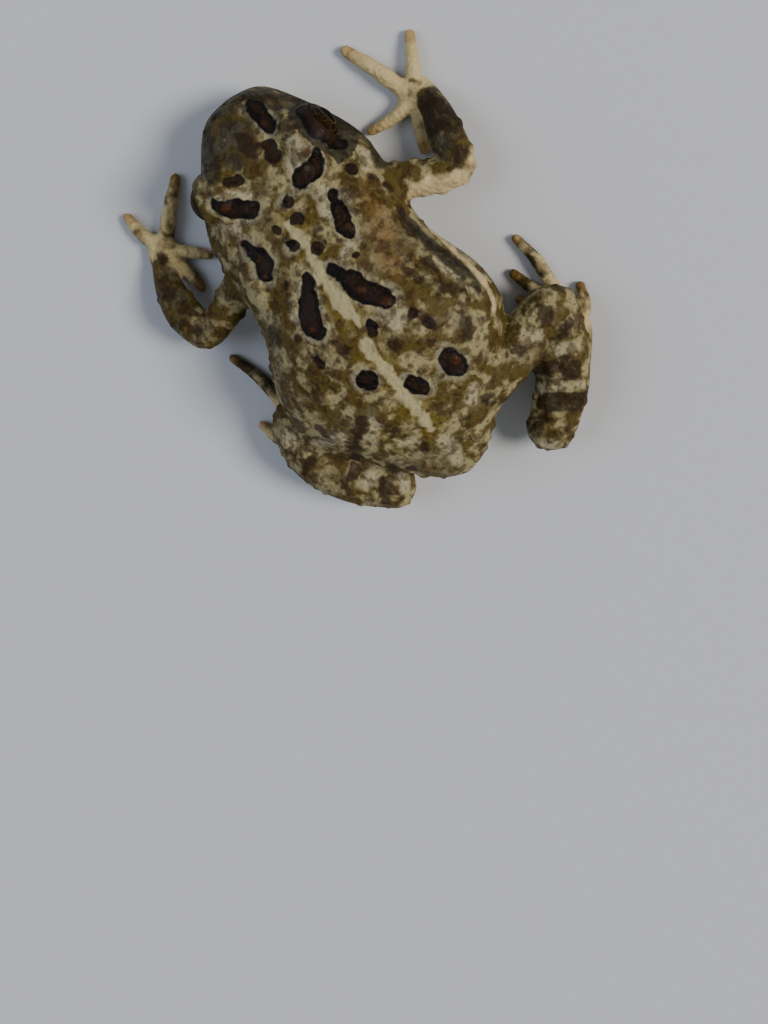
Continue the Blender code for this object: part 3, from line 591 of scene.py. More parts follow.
RIGHT_ARM = Arm(
    Side.RIGHT,
    upper=(
        (-4.2, -5.0, 3.3, 1.35, 1.3), (-6.3, -4.2, 3.0, 1.2, 1.15), (-8.1, -3.3, 2.6, 1.1, 1.05),
        (-9.6, -2.8, 2.35, 1.05, 1.0),
    ),
    fore=(
        (-9.75, -2.95, 2.3, 1.1, 1.05), (-9.95, -4.8, 2.0, 1.2, 1.1), (-10.2, -6.4, 1.45, 0.98, 0.85),
        (-10.25, -7.4, 1.1, 0.82, 0.65),
    ),
    palm=((-10.3, -7.2, 0.8, 0.85, 0.7), (-9.75, -7.9, 0.6, 1.15, 0.65), (-9.3, -8.5, 0.5, 1.0, 0.55)),
    fingers=(
        ((-9.3, -7.4, 0.55, 0.50, 0.55), (-8.7, -6.2, 0.50, 0.42, 0.50), (-8.2, -4.9, 0.32, 0.34, 0.36)),
        ((-9.3, -7.9, 0.55, 0.52, 0.55), (-7.8, -7.6, 0.55, 0.42, 0.50), (-6.0, -7.7, 0.32, 0.33, 0.36)),
        ((-9.2, -8.3, 0.55, 0.55, 0.55), (-8.4, -10.4, 0.62, 0.50, 0.54), (-7.3, -12.6, 0.32, 0.38, 0.36)),
        ((-9.7, -8.4, 0.55, 0.50, 0.55), (-10.5, -9.8, 0.52, 0.42, 0.50), (-11.2, -11.2, 0.32, 0.34, 0.36)),
    ),
)


# Painted shade on the side of the face, where it faces away from the light, given for the left side and used
# for both.
FACE_SIDE_SHADE_PATH = (
    (0.9, -13.4, 3.7, 1.4), (2.6, -12.4, 4.0, 1.6), (4.3, -10.9, 4.0, 1.7), (5.3, -8.8, 3.5, 1.6),
    (5.9, -6.3, 3.6, 1.4),
)
# Zones of colour along paths on the body: a strength, and points with a radius.
DARK_PATHS = (
    # Painted shade: both sides of the head, then the forehead and top of the snout. The rest are dark pigment
    # on arms and toes.
    *((0.74, tuple((x * side.value, y, z, radius) for x, y, z, radius in FACE_SIDE_SHADE_PATH)) for side in Side),
    (0.62, ((0.0, -13.5, 4.3, 2.2), (0.6, -12.0, 5.2, 2.5), (0.9, -11.0, 5.5, 1.6))),
    (0.38, ((9.7, -2.7, 2.9, 1.5), (10.5, -4.6, 2.5, 1.8))),
    (0.58, ((10.5, -5.0, 2.4, 1.8), (10.4, -6.9, 1.7, 1.5))),
    (0.62, ((-9.9, -4.2, 2.9, 1.4), (-10.1, -5.2, 2.6, 1.7))),
    (0.95, ((-10.2, -5.6, 2.3, 1.6), (-10.3, -6.9, 1.7, 1.4))),
    (0.80, ((8.4, 4.0, 0.8, 1.0), (9.1, 1.6, 0.8, 1.0), (9.7, -0.2, 0.6, 0.9))),
    (0.75, ((-10.4, 6.2, 0.9, 1.0), (-10.3, 3.4, 0.6, 0.9))),
)
PALE_PATHS = (
    # The two on the right arm are partly pale pigment and partly a painted highlight on its rear edge, where
    # the light falls. The left arm's is pale pigment.
    (0.90, ((-6.9, -3.2, 3.3, 1.1), (-8.2, -2.5, 3.1, 1.4), (-9.6, -1.9, 2.7, 1.4))),
    (0.70, ((-9.6, -2.0, 2.6, 1.4), (-10.6, -3.1, 2.2, 1.1))),
    (0.55, ((8.4, -2.2, 2.2, 1.2), (9.8, -1.9, 2.0, 1.2))),
)


# Camera and studio.


@dataclass
class View:
    """The photograph's camera: where it stands, what it looks at and which way the picture's top points."""

    stand: Point = (-18.35, -6.04, 90.35)
    target: Point = (7.28, 13.79, 0.0)
    picture_top: Point = (-0.5825, -0.8801, 0.0)
    focal_px: float = 1400.0
    width_px: float = 768.0
    height_px: float = 1024.0
    sensor: float = 36.0
    near: float = 1.0

    def axes(self) -> Matrix:
        """Works out which way the camera is turned.

        Returns:
            A matrix whose columns are the camera's right, up and back directions.
        """
        back = (Vector(self.stand) - Vector(self.target)).normalized()
        top = Vector(self.picture_top)
        up = (top - back * top.dot(back)).normalized()
        return Matrix((up.cross(back), up, back)).transposed()

    def ray(self, pixel: Pixel) -> Vector:
        """The direction from the camera through a pixel.

        Args:
            pixel: its place in the picture, from the left and from the top.

        Returns:
            A unit vector in the model's frame.
        """
        across = (pixel[0] - self.width_px / 2) / self.focal_px
        up = (self.height_px / 2 - pixel[1]) / self.focal_px
        return (self.axes() @ Vector((across, up, -1.0))).normalized()

    def build(self) -> bpy.types.Object:
        """Adds the camera and makes it the scene's own.

        Returns:
            The camera.
        """
        bpy.ops.object.camera_add()
        camera = bpy.context.active_object
        camera.name = "camera"
        camera.matrix_world = Matrix.Translation(Vector(self.stand) * MM) @ self.axes().to_4x4()
        camera.data.sensor_width = self.sensor
        camera.data.lens = self.focal_px * self.sensor / self.height_px
        camera.data.clip_start = self.near * MM
        bpy.context.scene.camera = camera
        return camera


@dataclass(frozen=True)
class Lamp:
    """A large soft lamp a long way off: where it stands, how wide it looks, its light and its colour."""

    name: str
    stand: Point
    width_degrees: float
    light: float
    colour: str

    def build(self) -> None:
        """Adds the lamp, turned to the toad."""
        bpy.ops.object.light_add(type="SUN")
        lamp = bpy.context.active_object
        lamp.name = self.name
        lamp.data.angle = math.radians(self.width_degrees)
        lamp.data.energy = self.light
        lamp.data.color = linear(self.colour)[:3]
        turn = Vector(self.stand).to_track_quat("Z", "Y").to_matrix().to_4x4()
        lamp.matrix_world = Matrix.Translation(Vector(self.stand) * MM) @ turn


@dataclass
class Studio:
    """The pale floor, the lights and the sky."""

    floor_half: float = 12000.0
    floor_z: float = -0.02
    floor_colour: str = "#c3c7cd"
    floor_roughness: float = 0.75
    sky_colour: str = "#dfe2e8"
    sky_at_horizon: float = 0.79
    sky_overhead: float = 0.30
    horizon_height: float = 0.30
    lamps: tuple[Lamp, ...] = (
        Lamp("key", (-150.0, 70.0, 150.0), 22.0, 3.0, "#fff6e8"),
        Lamp("fill", (110.0, -110.0, 160.0), 40.0, 1.0, "#e3ebff"),
    )

    def build(self) -> None:
        """Adds the floor, the lights and the world."""
        bpy.ops.object.select_all(action="DESELECT")
        bpy.ops.mesh.primitive_plane_add(size=2 * self.floor_half * MM, location=(0, 0, self.floor_z * MM))
        floor = bpy.context.active_object
        floor.name = "floor"
        dress(floor, self.floor_material())
        for lamp in self.lamps:
            lamp.build()
        world = bpy.data.worlds.new("sky")
        world.use_nodes = True
        tree = world.node_tree
        sky = tree.nodes["Background"]
        sky.inputs["Color"].default_value = linear(self.sky_colour)
        way = node(tree, "ShaderNodeTexCoord").outputs["Generated"]
        height = node(tree, "ShaderNodeSeparateXYZ", {0: way}).outputs["Z"]
        fade = {
            "Value": height, "From Max": self.horizon_height, "To Min": self.sky_at_horizon,
            "To Max": self.sky_overhead,
        }
        faded = node(tree, "ShaderNodeMapRange", fade, interpolation_type="SMOOTHSTEP").outputs["Result"]
        tree.links.new(faded, sky.inputs["Strength"])
        bpy.context.scene.world = world

    def floor_material(self) -> bpy.types.Material:
        """Matt painted board: an even pale grey with no gloss to catch the lamps.

        Returns:
            The floor's material.
        """
        material, tree, shader = new_material("painted_board")
        shader.inputs["Base Color"].default_value = linear(self.floor_colour)
        shader.inputs["Roughness"].default_value = self.floor_roughness
        return material


# Material helpers.


def linear(colour: str) -> tuple[float, float, float, float]:
    """Turns an sRGB hex colour to linear values.

    Args:
        colour: such as "#b5a988".

    Returns:
        Red, green, blue and alpha.
    """
    # The thresholds and powers are those of the sRGB standard.
    values = [int(colour[k:k + 2], 16) / 255 for k in (1, 3, 5)]
    r, g, b = (v / 12.92 if v <= 0.04045 else ((v + 0.055) / 1.055) ** 2.4 for v in values)
    return (r, g, b, 1.0)


def new_material(name: str) -> tuple[bpy.types.Material, bpy.types.NodeTree, bpy.types.Node]:
    """Makes a material.

    Args:
        name: the material's name.

    Returns:
        The material, its node tree and its Principled shader.
    """
    material = bpy.data.materials.new(name)
    material.use_nodes = True
    return material, material.node_tree, material.node_tree.nodes["Principled BSDF"]


def node(
    tree: bpy.types.NodeTree, kind: str, inputs: dict[Any, Any] | None = None, **settings: Any
) -> bpy.types.Node:
    """Adds a node with its settings and links.

    Args:
        tree: the tree that it goes in.
        kind: the node's type.
        inputs: what goes in each input, by name or number: a socket to link, or a value.
        **settings: the node's own settings.

    Returns:
        The new node.
    """
    new = tree.nodes.new(kind)
    for name, value in settings.items():
        setattr(new, name, value)
    for key, value in (inputs or {}).items():
        if isinstance(value, bpy.types.NodeSocket):
            tree.links.new(value, new.inputs[key])
        else:
            new.inputs[key].default_value = value
    return new


def layered(tree: bpy.types.NodeTree, ground: str, layers: Sequence[tuple]) -> bpy.types.NodeSocket:
    """Lays colours over one another, each where a value lies past its limits.

    Args:
        tree: the tree that the nodes go in.
        ground: the colour under all of them.
        layers: each layer's colour, value, the value where it starts, where it is full, and its most.

    Returns:
        The colour on top.
    """
    below: Any = linear(ground)
    for above, value, low, high, most in layers:
        limits = {"Value": value, "From Min": low, "From Max": high, "To Max": most}
        mask = node(tree, "ShaderNodeMapRange", limits, interpolation_type="SMOOTHSTEP").outputs["Result"]
        # Factor, A and B of a Mix of colours are its inputs 0, 6 and 7, and its output 2 is the colour.
        mix = {0: mask, 6: below, 7: linear(above)}
        below = node(tree, "ShaderNodeMix", mix, data_type="RGBA").outputs[2]
    return below


def dress(piece: bpy.types.Object, material: bpy.types.Material) -> None:
    """Gives a piece one material."""
    piece.data.materials.clear()
    piece.data.materials.append(material)


# Finishes.


@dataclass(frozen=True)
class ToadSkin:
    """Live amphibian skin, granular and thin, which secretes its own moisture.

    The granules break its sheen into fine points, light goes in a little way and comes out warm, and the
    pigment lies in patches with crisp edges.
    """

    cream: str = "#958c66"
    olive: str = "#4e421a"
    brown: str = "#301f0c"
    grey: str = "#6b634b"
    pepper: str = "#2b1a0a"
    speck: str = "#40260f"
    # blotch: the dark blotches, and also the painted shade from the right nostril to the eye.
    blotch: str = "#060301"
    blotch_centre: str = "#25150a"
    wart_top: str = "#42240e"
    smudge: str = "#241608"
    spot: str = "#190d05"
    spot_centre: str = "#301d0b"
    stripe: str = "#aaa17b"
    light: str = "#aba384"
    ochre: str = "#64551b"
    moss: str = "#4b3d14"
    rim: str = "#a39f88"
    # dark: dark pigment on arms, toes and the flank's band, and painted shade on the sides of the head, the
    # forehead and over the right lid.
    dark: str = "#1a1610"
    tan: str = "#674922"
    # pale: pale pigment of the upper arms and the flank's stripe, and a painted highlight on the right arm's
    # rear edge.
    pale: str = "#cbb78c"
    digit: str = "#c8b684"
    tip: str = "#8a6433"
    belly: str = "#c4bca0"
    # pit: painted shade in the nostrils and in the groove of the mouth.
    pit_shade: str = "#0c0705"
    # On so small a toad patches of olive and cream are 1 to 1.5 mm across, changes of tone 2 to 3 mm, brown
    # flecks 0.5 to 0.8 mm, and the edge of a blotch wanders over 0.7 to 0.8 mm.
    mottle_mm: float = 1.25
    cloud_mm: float = 2.6
    fleck_mm: float = 0.70
    ragged_mm: float = 0.75
    # Pigment cells gather in dots of about 0.1 mm, granules are 0.15 mm across and the folds between them
    # 0.05 mm. A pixel is 0.063 mm, so these three are drawn about twice as coarse as they are, to show.
    pepper_mm: float = 0.30
    grain_mm: float = 0.26
    fine_mm: float = 0.12
    grain_height_mm: float = 0.11
    fold_share: float = 0.4
    grain_top: float = 0.9
    # Dull on the granules and glossier in the folds between them, where the moisture lies.
    roughness: tuple[float, float] = (0.45, 0.75)
    specular: float = 0.19
    film: float = 0.04
    film_roughness: float = 0.25
    refraction: float = 1.4
    depth_share: float = 0.08
    depth_mm: float = 0.35
    depth_of_colours: tuple[float, float, float] = (1.0, 0.55, 0.3)

    def values(self, tree: bpy.types.NodeTree) -> dict[str, bpy.types.NodeSocket]:
        """Gathers what the layers read: the noises, and the skin's attributes with ragged edges.

        Args:
            tree: the material's node tree.

        Returns:
            One socket for each name.
        """
        where = node(tree, "ShaderNodeTexCoord").outputs["Object"]
        sizes = {
            "mottle": (self.mottle_mm, 3.0), "cloud": (self.cloud_mm, 3.0), "fleck": (self.fleck_mm, 2.0),
            "pepper": (self.pepper_mm, 2.0), "ragged": (self.ragged_mm, 1.0), "fine": (self.fine_mm, 2.0),
        }
        found = {}
        for name, (size, detail) in sizes.items():
            settings = {"Vector": where, "Scale": 1.0 / (size * MM), "Detail": detail, "Distortion": 0.3}
            found[name] = node(tree, "ShaderNodeTexNoise", settings).outputs["Fac"]
        grain = {"Vector": where, "Scale": 1.0 / (self.grain_mm * MM)}
        found["grain"] = node(tree, "ShaderNodeTexVoronoi", grain, feature="SMOOTH_F1").outputs["Distance"]
        for name in ("wart", "pit_shade", "belly"):
            found[name] = node(tree, "ShaderNodeAttribute", attribute_name=name).outputs["Fac"]
        wandering = {
            "blotch": ("ragged", 0.55), "core": ("fleck", 0.9), "smudge": ("ragged", 1.6),
            "spot": ("ragged", 0.7), "spot_core": ("fleck", 0.9),
            "stripe": ("ragged", 1.0), "light": ("mottle", 1.6), "olive": ("mottle", 2.4),
            "rim": ("mottle", 1.8), "ochre": ("mottle", 2.4), "dark": ("mottle", 2.2),
            "pale": ("mottle", 1.8), "tan": ("mottle", 2.0), "digit": ("mottle", 2.0), "tip": ("fleck", 0.8),
        }
        sources = {"rim": "blotch", "core": "blotch", "spot_core": "spot", "ochre": "stripe"}
        for name, (noise, reach) in wandering.items():
            source = sources.get(name, name)
            kept = node(tree, "ShaderNodeAttribute", attribute_name=source).outputs["Fac"]
            swing = node(tree, "ShaderNodeMath", {0: found[noise], 1: 0.5}, operation="SUBTRACT").outputs[0]
            wander = {0: swing, 1: reach, 2: kept}
            found[name] = node(tree, "ShaderNodeMath", wander, operation="MULTIPLY_ADD").outputs[0]
        inside = {"Value": found["blotch"], "From Min": 0.0, "From Max": -0.2}
        within = node(tree, "ShaderNodeMapRange", inside).outputs["Result"]
        crown = {0: within, 1: found["wart"]}
        found["crown"] = node(tree, "ShaderNodeMath", crown, operation="MULTIPLY").outputs[0]
        return found

    def colour(
        self, tree: bpy.types.NodeTree, found: dict[str, bpy.types.NodeSocket]
    ) -> bpy.types.NodeSocket:
        """Lays the pigments over one another, from the ground up, with red wart tops and then painted shade
        in the nostrils and the mouth's groove last.

        Args:
            tree: the material's node tree.
            found: the values that the layers read.

        Returns:
            The skin's colour.
        """
        layers = (
            (self.cream, "mottle", 0.45, 0.60, 0.94),
            (self.grey, "cloud", 0.50, 0.66, 0.5),
            (self.tan, "tan", 0.30, 0.95, 0.58),
            (self.ochre, "ochre", 1.0, 0.2, 0.70),
            (self.moss, "olive", 0.30, -0.25, 0.72),
            (self.rim, "rim", 0.42, 0.02, 0.45),
            (self.light, "light", 0.25, -0.20, 0.72),
            (self.brown, "fleck", 0.52, 0.64, 0.62),
            (self.pepper, "pepper", 0.56, 0.66, 0.5),
            (self.belly, "belly", 0.0, 1.0, 1.0),
            (self.speck, "wart", 0.40, 0.85, 0.60),
            # Dark pigment, and painted shade on the head's sides, the forehead and the right lid.
            (self.dark, "dark", 0.25, 0.85, 0.84),
            # Pale pigment, and a painted highlight on the right arm's rear edge.
            (self.pale, "pale", 0.30, 0.95, 0.78),
            (self.digit, "digit", 0.25, 0.80, 0.80),
            (self.tip, "tip", 0.35, 0.9, 0.62),
            (self.stripe, "stripe", 0.12, -0.16, 0.86),
            (self.smudge, "smudge", 0.16, -0.20, 0.82),
            (self.spot, "spot", 0.06, -0.06, 0.96),
            (self.spot_centre, "spot_core", -0.12, -0.34, 0.6),
            (self.blotch, "blotch", 0.07, -0.05, 1.0),
            (self.blotch_centre, "core", -0.14, -0.42, 0.8),
            (self.wart_top, "crown", 0.5, 1.0, 0.75),
            # Painted shade in the nostrils and the groove of the mouth.
            (self.pit_shade, "pit_shade", 0.25, 0.85, 0.9),
        )
        return layered(tree, self.olive, [(above, found[name], *rest) for above, name, *rest in layers])

    def material(self) -> bpy.types.Material:
        """Makes the skin's material: its pigments, its granules and the dull gloss over them.

        Returns:
            The material.
        """
        material, tree, shader = new_material("moist_toad_skin")
        found = self.values(tree)
        tree.links.new(self.colour(tree, found), shader.inputs["Base Color"])
        granules = {0: found["fine"], 1: self.fold_share, 2: 0.0}
        folds = node(tree, "ShaderNodeMath", granules, operation="MULTIPLY_ADD").outputs[0]
        domes = {0: folds, 1: found["grain"]}
        height = node(tree, "ShaderNodeMath", domes, operation="SUBTRACT").outputs[0]
        relief = {"Height": height, "Strength": 1.0, "Distance": self.grain_height_mm * MM}
        tree.links.new(node(tree, "ShaderNodeBump", relief).outputs["Normal"], shader.inputs["Normal"])
        wet, dry = self.roughness
        dull = {"Value": found["grain"], "From Max": self.grain_top, "To Min": wet, "To Max": dry}
        tree.links.new(node(tree, "ShaderNodeMapRange", dull).outputs["Result"], shader.inputs["Roughness"])
        shader.inputs["Subsurface Weight"].default_value = self.depth_share
        shader.inputs["Subsurface Radius"].default_value = self.depth_of_colours
        shader.inputs["Subsurface Scale"].default_value = self.depth_mm * MM
        shader.inputs["Specular IOR Level"].default_value = self.specular
        shader.inputs["Coat Weight"].default_value = self.film
        shader.inputs["Coat Roughness"].default_value = self.film_roughness
        shader.inputs["IOR"].default_value = self.refraction
        return material


@dataclass(frozen=True)
class WetEye:
    """A live eye: a clear wet cornea, so it is very glossy, over a dark iris flecked with gold."""

    iris: str = "#140e07"
    fleck: str = "#70572a"
    pupil: str = "#030303"
    white: str = "#0d0a07"
    # The gold lies in specks of 0.03 to 0.05 mm, drawn at twice that, which is the least that shows.
    fleck_mm: float = 0.09
    # All the gloss is the film's, thin and sharp, so that the eye stays black where it is seen aslant.
    roughness: float = 0.30
    specular: float = 0.0
    film: float = 0.24
    film_refraction: float = 1.376
    film_roughness: float = 0.02

    def material(self) -> bpy.types.Material:
        """Makes the eye's material: gold-flecked iris, gold-rimmed pupil and the cornea's gloss.

        Returns:
            The material.
        """
        material, tree, shader = new_material("wet_eye")
        where = node(tree, "ShaderNodeTexCoord").outputs["Object"]
        noise = {"Vector": where, "Scale": 1.0 / (self.fleck_mm * MM), "Detail": 3.0}
        gold = node(tree, "ShaderNodeTexNoise", noise).outputs["Fac"]
        iris = node(tree, "ShaderNodeAttribute", attribute_name="iris").outputs["Fac"]
        pupil = node(tree, "ShaderNodeAttribute", attribute_name="pupil").outputs["Fac"]
        layers = (
            (self.fleck, gold, 0.5, 0.68, 0.4),
            (self.white, iris, 0.95, 1.05, 1.0),
            (self.fleck, pupil, 1.20, 1.12, 0.42),
            (self.pupil, pupil, 1.08, 1.0, 1.0),
        )
        tree.links.new(layered(tree, self.iris, layers), shader.inputs["Base Color"])
        shader.inputs["Roughness"].default_value = self.roughness
        shader.inputs["Specular IOR Level"].default_value = self.specular
        shader.inputs["Coat Weight"].default_value = self.film
        shader.inputs["Coat IOR"].default_value = self.film_refraction
        shader.inputs["Coat Roughness"].default_value = self.film_roughness
        return material


# Skin.


@dataclass
class Eye:
    """An eyeball and the opening of its lids, given for the left side."""

    centre: Point = (3.74, -9.55, 4.70)
    radius: float = 1.42
    gaze: Point = (0.93, -0.22, 0.20)
    # Half the opening's angle along the head and upward, in degrees. What is "round" counts in openings.
    opening: tuple[float, float] = (54.0, 47.0)
    lid: float = 0.13
    lid_reach: float = 1.3
    lid_fades: float = 1.75
    # Where round the eye the lid's rim lies, how wide it is and how high.
    lid_rim: tuple[float, float, float] = (1.12, 0.12, 0.07)
    sunk: float = 0.35
    # Heights over the eyeball between which the drawing of the skin fades, and the fold's easing.
    drawn_over: tuple[float, float] = (0.8, 1.3)
    fold_over: tuple[float, float] = (1.5, 2.1)
    fold_round: tuple[float, float] = (1.2, 1.35)
    fold_rounds: int = 8
    # The cornea's reach in radians and its height, the iris's angle, and the pupil's half length and height.
    cornea: tuple[float, float] = (0.6, 0.05)
    iris_angle: float = 50.0
    pupil: tuple[float, float] = (0.62, 0.40)

    def frame_of(self, side: Side) -> tuple[np.ndarray, np.ndarray, np.ndarray]:
        """The directions that an eye is drawn by.

        Args:
            side: which eye.

        Returns:
            Its gaze, its long axis along the head and its upward axis.
        """
        gaze = np.array(side.place(self.gaze).normalized())
        along = np.cross((0.0, 0.0, 1.0), gaze)
        along /= np.linalg.norm(along)
        return gaze, along, np.cross(gaze, along)

    def build(self, side: Side) -> bpy.types.Object:
        """Models the eyeball of one side.

        Args:
            side: which eye.

        Returns:
            The eyeball, with the places of its iris and pupil as attributes.
        """
        centre = side.place(self.centre)
        eye = ball("eyeball_" + side.name.lower(), centre, (self.radius,) * 3)
        gaze, along, up = self.frame_of(side)
        points = points_of(eye)
        out = (points - np.array(centre)) / self.radius
        front = np.clip(out @ gaze, -1, 1)
        width, height = self.cornea
        bulge = height * ridge(np.arccos(front), 0.0, width)
        put_points(eye, points + out * bulge[:, None])
        store(eye, "iris", np.degrees(np.arccos(front)) / self.iris_angle)
        wide = (out @ along) * self.radius / self.pupil[0]
        high = (out @ up) * self.radius / self.pupil[1]
        store(eye, "pupil", np.where(front > 0, np.hypot(wide, high), FAR))
        eye.data.shade_smooth()
        return eye

    def round_it(self, points: np.ndarray, side: Side) -> np.ndarray:
        """How far round the eye each point lies from the middle of the opening, which ends at 1.

        Args:
            points: the skin's points.
            side: which eye.

        Returns:
            One number for each point, and FAR for a point behind or away from the eye.
        """
        gaze, along, up = self.frame_of(side)
        out = points - np.array(side.place(self.centre))
        reach = np.linalg.norm(out, axis=1)
        unit = out / reach[:, None]
        wide = (unit @ along) / math.sin(math.radians(self.opening[0]))
        high = (unit @ up) / math.sin(math.radians(self.opening[1]))
        near = (unit @ gaze > 0) & (reach < self.radius + self.lid_reach)
        return np.where(near, np.hypot(wide, high), FAR)

    def shape_lids(self, points: np.ndarray, edges: np.ndarray, free: np.ndarray) -> np.ndarray:
        """Draws the skin round both eyes into lids, and eases the fold about them.

        Args:
            points: the skin's points.
            edges: the pairs of neighbours among them.
            free: how far each point may be drawn along, from 0 at the mouth to 1.

        Returns:
            The points, with a thin margin round each opening and the rest sunk behind the eyeball.
        """
        for side in Side:
            out = points - np.array(side.place(self.centre))
            reach = np.linalg.norm(out, axis=1)
            unit = out / reach[:, None]
            round_it = self.round_it(points, side)
            thin = self.radius + self.lid
            at, width, height = self.lid_rim
            lidded = thin + (np.maximum(reach, thin) - thin) * ease(round_it, 1.0, self.lid_fades)
            lidded = lidded + height * ridge(round_it, at, width)
            target = np.where(round_it < 1.0, self.radius - self.sunk, lidded)
            over = reach - self.radius
            drawn = free * (1 - ease(over, *self.drawn_over))
            points = points + unit * ((target - reach) * drawn)[:, None]
            fold = ease(round_it, *self.fold_round) * (1 - ease(over, *self.fold_over))
            for _ in range(self.fold_rounds):
                points = relaxed(points, edges, 0.5 * free * fold)
        return points


@dataclass(frozen=True)
class Ring:
    """A raised ring round a hollow, given for the left side: its crest and the hollow, in millimetres."""

    centre: Point
    crest: float
    width: float
    height: float
    hollow: float
    depth: float
    x_share: float = 1.0

    def gap(self, points: np.ndarray) -> np.ndarray:
        """How far each point lies from the nearer ring's middle, where X counts by x_share."""
        return np.linalg.norm((on_left(points) - self.centre) * (self.x_share, 1, 1), axis=1)

    def lift(self, points: np.ndarray) -> np.ndarray:
        """How far each point moves out for the ring, below 0 in its hollow."""
        gap = self.gap(points)
        return self.height * ridge(gap, self.crest, self.width) - self.depth * ridge(gap, 0.0, self.hollow)


@dataclass(frozen=True)
class Mouth:
    """The mouth's line: a groove between two lips, which rises a little towards the back."""

    snout_y: float = -13.98
    height: float = 2.35
    rise: float = 0.07
    back: float = -6.6
    fades: float = 0.6
    groove: tuple[float, float] = (0.11, 0.18)
    # Above and below the line: the lip's distance, its width and its height.
    lips: tuple[tuple[float, float, float], ...] = ((0.36, 0.22, 0.10), (-0.36, 0.22, 0.06))

    def at(self, y: float | np.ndarray) -> float | np.ndarray:
        """The height of the line at a place along the head."""
        return self.height + self.rise * (y - self.snout_y)

    def above(self, points: np.ndarray) -> np.ndarray:
        """How far each point lies above the line."""
        return points[:, 2] - self.at(points[:, 1])

    def groove_at(self, points: np.ndarray) -> np.ndarray:
        """How much each point lies in the groove, from 0 to 1."""
        return self.along(points) * ridge(self.above(points), 0.0, self.groove[0])

    def along(self, points: np.ndarray) -> np.ndarray:
        """How much each point belongs to the mouth's length, from 0 behind it to 1."""
        return (points[:, 1] < self.back) * (1 - ease(points[:, 1], self.back - self.fades, self.back))

    def lift(self, points: np.ndarray) -> np.ndarray:
        """How far each point moves out for the lips, below 0 in the groove."""
        lips = sum(height * ridge(self.above(points), at, width) for at, width, height in self.lips)
        return self.along(points) * lips - self.groove[1] * self.groove_at(points)


@dataclass(frozen=True)
class WartGround:
    """Where warts are welcome, as pairs of values: none at the first and all at the second."""

    upward: tuple[float, float] = (-0.35, 0.15)
    off_floor: tuple[float, float] = (1.3, 2.2)
    over_lip: tuple[float, float] = (0.7, 1.2)
    off_eye: tuple[float, float] = (2.1, 2.3)
    off_nostril: tuple[float, float] = (0.9, 1.2)
    head: tuple[float, float] = (6.0, 7.5)
    head_bare: float = 0.75
    head_front: float = -6.5


@dataclass
class Warts:
    """The warts: the large ones placed in the blotches one by one, the rest spread by a seeded draw."""

    # Each as X, Y and radius.
    placed: tuple[Row, ...] = (
        (1.25, -0.1, 0.52), (1.72, 1.55, 0.62), (-1.55, -0.35, 0.42), (-2.40, 1.10, 0.62),
        (3.10, -3.95, 0.46), (3.85, -5.10, 0.42), (-2.85, -3.75, 0.46), (-3.35, -4.95, 0.42),
        (1.75, 6.9, 0.60), (-1.55, 6.9, 0.56), (-3.95, 6.2, 0.66), (4.10, 3.9, 0.60), (-0.45, 3.0, 0.42),
        (0.55, -5.1, 0.40), (-0.70, -3.9, 0.42), (1.15, -3.1, 0.38), (2.95, -8.7, 0.55), (-2.95, -8.7, 0.55),
    )
    count: int = 420
    tries: int = 8
    radius: tuple[float, float] = (0.26, 0.50)
    mostly_small: float = 2.2
    rise: float = 0.40
    roundness: float = 1.3
    spacing: float = 0.08
    seed: int = 7

    def choose(self, points: np.ndarray, allowed: np.ndarray, tree: BVHTree) -> list[tuple]:
        """Chooses where the warts stand.

        Args:
            points: the skin's points.
            allowed: how welcome a wart is at each point, from 0 to 1.
            tree: the skin's faces, in millimetres.

        Returns:
            The place and radius of each wart.
        """
        draw = random.Random(self.seed)
        chosen: list[tuple] = []
        for x, y, radius in self.placed:
            place = tree.ray_cast(Vector((x, y, ABOVE)), Vector((0, 0, -1)))[0]
            chosen.append((np.array(place), radius))
        for _ in range(self.count * self.tries):
            if len(chosen) >= self.count:
                break
            at = draw.randrange(len(points))
            if draw.random() > allowed[at]:
                continue
            radius = self.radius[0] + (self.radius[1] - self.radius[0]) * draw.random() ** self.mostly_small
            if all(np.linalg.norm(points[at] - p) > radius + r + self.spacing for p, r in chosen):
                chosen.append((points[at], radius))
        return chosen

    def raise_on(self, points: np.ndarray, chosen: list[tuple]) -> tuple[np.ndarray, np.ndarray]:
        """Raises the warts on the skin.

        Args:
            points: the skin's points.
            chosen: the warts' places and radii.

        Returns:
            How far each point moves out, and how much it belongs to a wart.
        """
        near = KDTree(len(points))
        for k, point in enumerate(points):
            near.insert(point, k)
        near.balance()
        lift = np.zeros(len(points))
        mask = np.zeros(len(points))
        for place, radius in chosen:
            for _, k, distance in near.find_range(place, radius):
                dome = max(0.0, 1 - (distance / radius) ** 2)
                lift[k] = max(lift[k], radius * self.rise * dome**self.roundness)
                mask[k] = max(mask[k], dome)
        return lift, mask


